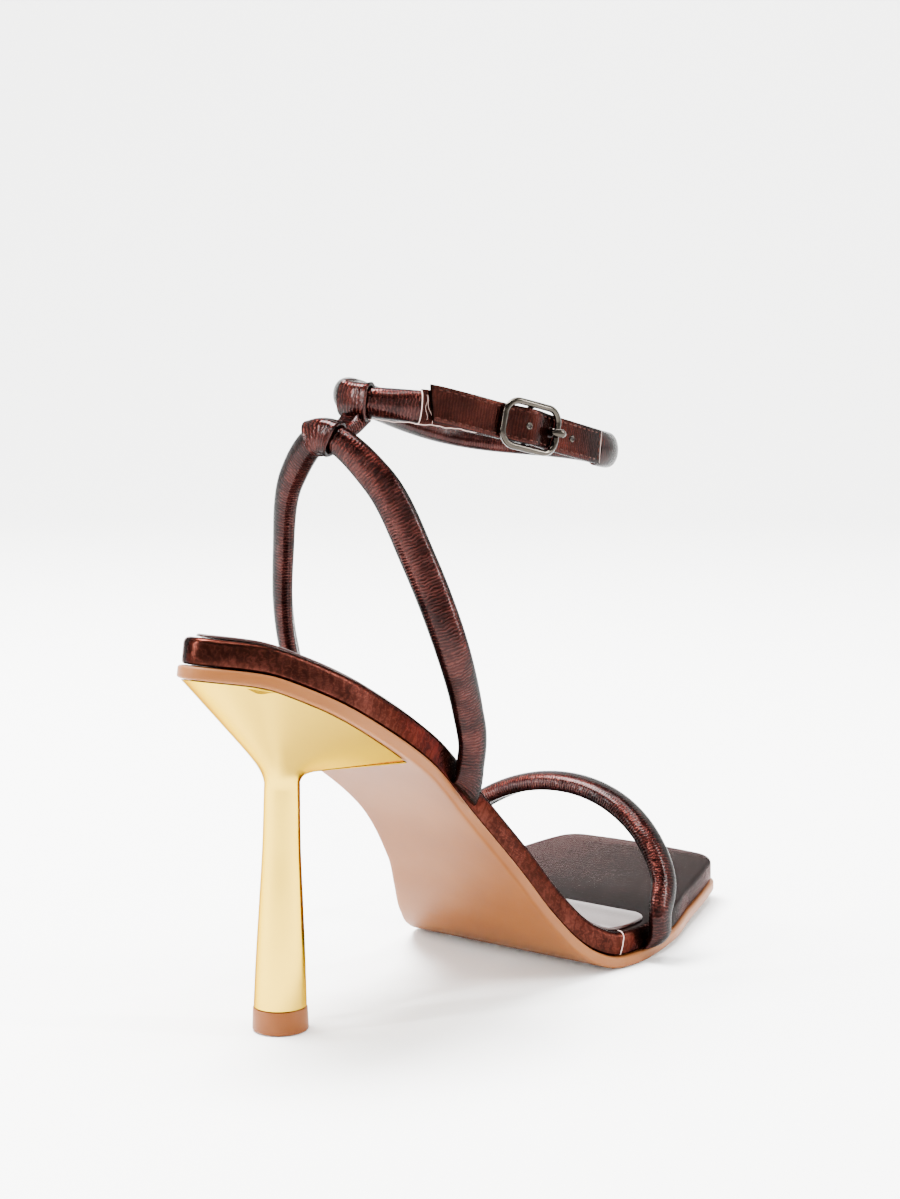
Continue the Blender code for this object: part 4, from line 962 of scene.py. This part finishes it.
# %% Make the eyelets
ROLL = np.array(((0.34, -0.5), (0.36, 0.05), (0.48, 0.24), (0.66, 0.30), (0.84, 0.22),
                 (0.94, 0.04), (0.94, -0.04)))


def around_hole(along, profile, sides=28):
    """A profile of radius and height turned about the way out of the billet at a hole."""
    behind, centre, before = (
        on_ankle(at, 0.0, billet_lift(at)) for at in (along - 0.4, along, along + 0.4))
    ahead = unit(before - behind)
    way = unit(np.cross(ahead, unit(on_ankle(along, 0.5) - on_ankle(along, -0.5))))
    circle = spun(sides)
    ring = circle[:, :1] * ahead + circle[:, 1:] * np.cross(way, ahead)
    face = centre + way * (FLAT_THICK / 2)
    profile = np.array(profile)
    return face + profile[:, :1, None] * ring[None] + profile[:, 1:, None] * way


spare = (HOLE - PITCH, HOLE + PITCH)
for k, along in enumerate(spare):
    piece(f"eyelet_ring_{k + 1}", [patch(around_hole(along, ROLL))],
          nickel, "nickel", f"eyelet_{k + 1}")
# Dark discs in the holes: painted shade.
piece("hole_shade_discs", [
    patch(around_hole(HOLE, ((1.45, -0.3), (1.45, 0.03), (0.4, 0.04)))),
    *(patch(around_hole(at, ((0.42, -0.3), (0.42, 0.06), (0.1, 0.07)))) for at in spare)],
    hole_shade, BRONZE)

# %% [markdown]
# ## The keeper
#
# A strip of the same leather is wound into a figure of eight: the lower loop holds the top of
# the sling strap, the upper one the back of the ankle strap. Each loop hugs its strap, so it is
# made like the strap: its own small section, with a rolled lip at both rims, is carried round the
# strap. The section's first number is the place along the strap, its second the distance out.

# %% Make the keeper
w = KEEPER_WIDE / 2
BAND = smoothed(np.array((
    (-w + 0.3, 0.15), (-1.2, 0.15), (1.2, 0.15), (w - 0.3, 0.15), (w, 0.45), (w + 0.05, 0.95),
    (w - 0.3, 1.30), (w - 0.85, 1.12), (1.4, 1.00), (-1.4, 1.00), (-w + 0.85, 1.12),
    (-w + 0.3, 1.30), (-w - 0.05, 0.95), (-w, 0.45))), 44)
WEB = ((49.5, 144.8), (53.0, 145.0), (57.0, 146.2), (61.5, 149.5))
WEB_WIDE, WEB_THICK, WEB_WAIST = 6.2, 4.6, 1.2


def hugging_band(path, outward, centre, width, thick, around=96):
    """Band round a strap: each point of its section is a superellipse round the strap's path."""
    along = run_of(path)
    at = along[np.argmin(np.linalg.norm(path - centre, axis=1))] + BAND[:, 0]
    tangent = unit(looked_up(at, along, np.gradient(path, along, axis=0)))
    out = square_to(tangent, unit(looked_up(at, along, outward)))
    across = np.cross(out, tangent)
    circle = spun(around)
    square = np.sign(circle) * np.abs(circle) ** 0.72
    reach = BAND[:, 1:, None]
    return (looked_up(at, along, path)[:, None]
            + across[:, None] * square[:, :1] * (width / 2 + reach)
            + out[:, None] * square[:, 1:] * (thick / 2 + reach))


sling_out = unit((sling_path - hub) * [1.0, 1.0, 0.0])
apex = sling_path[np.argmax(sling_path[:, 2])]
low_loop = hugging_band(sling_path, sling_out, apex, SLING_WIDE * (1 - SLING_GATHER), STRAP_THICK)
back = ROUND - BUCKLE_S
at = np.linspace(back - 14.0, back + 14.0, 141)
back_out = on_ankle(at, 0.0, 1.0) - on_ankle(at)
high_loop = hugging_band(
    on_ankle(at), back_out, on_ankle(back), BACK_WIDE * (1 - ANKLE_GATHER), STRAP_THICK)
web_path = course([(x, KEEPER_Y, z) for x, z in WEB], 0.4)
waist = WEB_WAIST * np.sin(np.linspace(0.0, math.pi, len(web_path)))
web = lofted(web_path, np.array([-0.5, 0.0, 1.0]), WEB_WIDE, WEB_THICK - waist, smoothed(FLAT, 36))
piece("keeper_leather", [patch(low_loop, looped=True), patch(high_loop, looped=True), patch(web)],
      strap_leather, BRONZE, "strap_keeper")

# %% [markdown]
# ## The seam in the insole's wrap
#
# The wrap is cut in two and butted on the outer side near the ball. A thin pale line shows where.

# %% Make the wrap's seam
SEAM_X, SEAM_OUT = 126.0, 0.15
SEAM = np.array((
    (0.0, 6.1, 0.0), (0.0, 4.0, 0.5), (0.0, 2.0, 0.9), (0.04, 1.2, 1.0), (0.2, 0.72, 1.0),
    (0.45, 0.36, 1.0), (0.85, 0.12, 1.1), (2.4, 0.0, 1.6)))
inset, depth, slip = SEAM.T
s_seam = np.interp(SEAM_X, LINE[:, 0], LINE_S)
seam_line = bend(s_seam + slip, middle(s_seam) - half_width(s_seam) + inset - SEAM_OUT, depth)
piece("wrap_seam", [pale_line(course(seam_line, 0.3), 0.15)], pale_edge_and_glint, BRONZE)

# %% [markdown]
# ## Light and floor
#
# A product picture is lit by soft boxes over a white sweep, here a round floor that curves up
# into a wall on every side. Metal and glossy leather show mostly what stands round them. Narrow
# boxes at both sides and a strip overhead give the straps their thin highlights, and the dark
# part of the sky above the wall gives them their dark bands.

# %% Make the sweep
FLOOR_REACH, WALL_CURVE, WALL_TOP, SPOKES = 2.5, 0.8, 2.8, 96
FLOOR_SHIFT, FLOOR_DROP = 0.9, 0.0002

turn = np.linspace(-math.pi / 2, 0.0, 24)[1:]
wall = FLOOR_REACH + WALL_CURVE
reach = [0.8, 1.6, FLOOR_REACH, *(FLOOR_REACH + WALL_CURVE * np.cos(turn)), wall]
rise = [0.0, 0.0, 0.0, *(WALL_CURVE + WALL_CURVE * np.sin(turn)), WALL_TOP]
grid = np.zeros((len(reach), SPOKES, 3))
grid[:, :, :2] = np.array(reach)[:, None, None] * spun(SPOKES) - FLOOR_SHIFT * np.array(AHEAD[:2])
grid[:, :, 2] = np.array(rise)[:, None] - FLOOR_DROP
k, j = np.meshgrid(np.arange(len(reach) - 1) * SPOKES, np.arange(SPOKES), indexing="ij")
j2 = (j + 1) % SPOKES
cells = np.stack([k + j, k + SPOKES + j, k + SPOKES + j2, k + j2], axis=2).reshape(-1, 4)
mesh = bpy.data.meshes.new("sweep")
mesh.from_pydata(grid.reshape(-1, 3).tolist(), [], [tuple(range(SPOKES)), *cells.tolist()])
mesh.shade_smooth()
paper, *_ = new_material("white_paper", Base_Color=colour("F4F4F3"), Roughness=0.85)
mesh.materials.append(paper)
sweep = shown("sweep", mesh)

# %% Hang the lights
for name, place, aim, size, power in (
        ("top_box", (-0.1, 0.5, 1.5), (0.0, 0.0, 0.0), (0.7, 0.7), 150.0),
        ("over_strip", (-0.05, -0.35, 1.4), (0.0, 0.0, 0.08), (0.9, 0.05), 22.0),
        ("left_box", (-1.3, 0.7, 0.75), (0.0, 0.0, 0.08), (0.08, 1.3), 42.0),
        ("right_box", (0.8, -1.4, 0.8), (0.0, 0.0, 0.08), (0.06, 1.3), 42.0),
        ("back_box", (0.5, 0.4, 2.2), (1.9, 1.5, 0.4), (1.8, 1.0), 150.0)):
    light = bpy.data.lights.new(name, "AREA")
    light.shape, light.size, light.size_y = "RECTANGLE", *size
    light.energy = power
    box = shown(name, light)
    box.location = place
    box.rotation_euler = (Vector(aim) - Vector(place)).to_track_quat("-Z", "Y").to_euler()

world = bpy.data.worlds.new("studio")
world.use_nodes = True
tree = world.node_tree
up = add(tree, "SeparateXYZ", Vector=add(tree, "TexCoord")["Generated"])["Z"]
sky = ramp(tree, add(tree, "MapRange", Value=up, From_Min=-1.0)[0],
           ((0.45, "FFFFFF"), (0.53, "303030"), (0.75, "404040"), (1.0, "E0E0E0")))
tree.links.new(sky, tree.nodes["Background"].inputs["Color"])
tree.nodes["Background"].inputs["Strength"].default_value = 0.4
bpy.context.scene.world = world
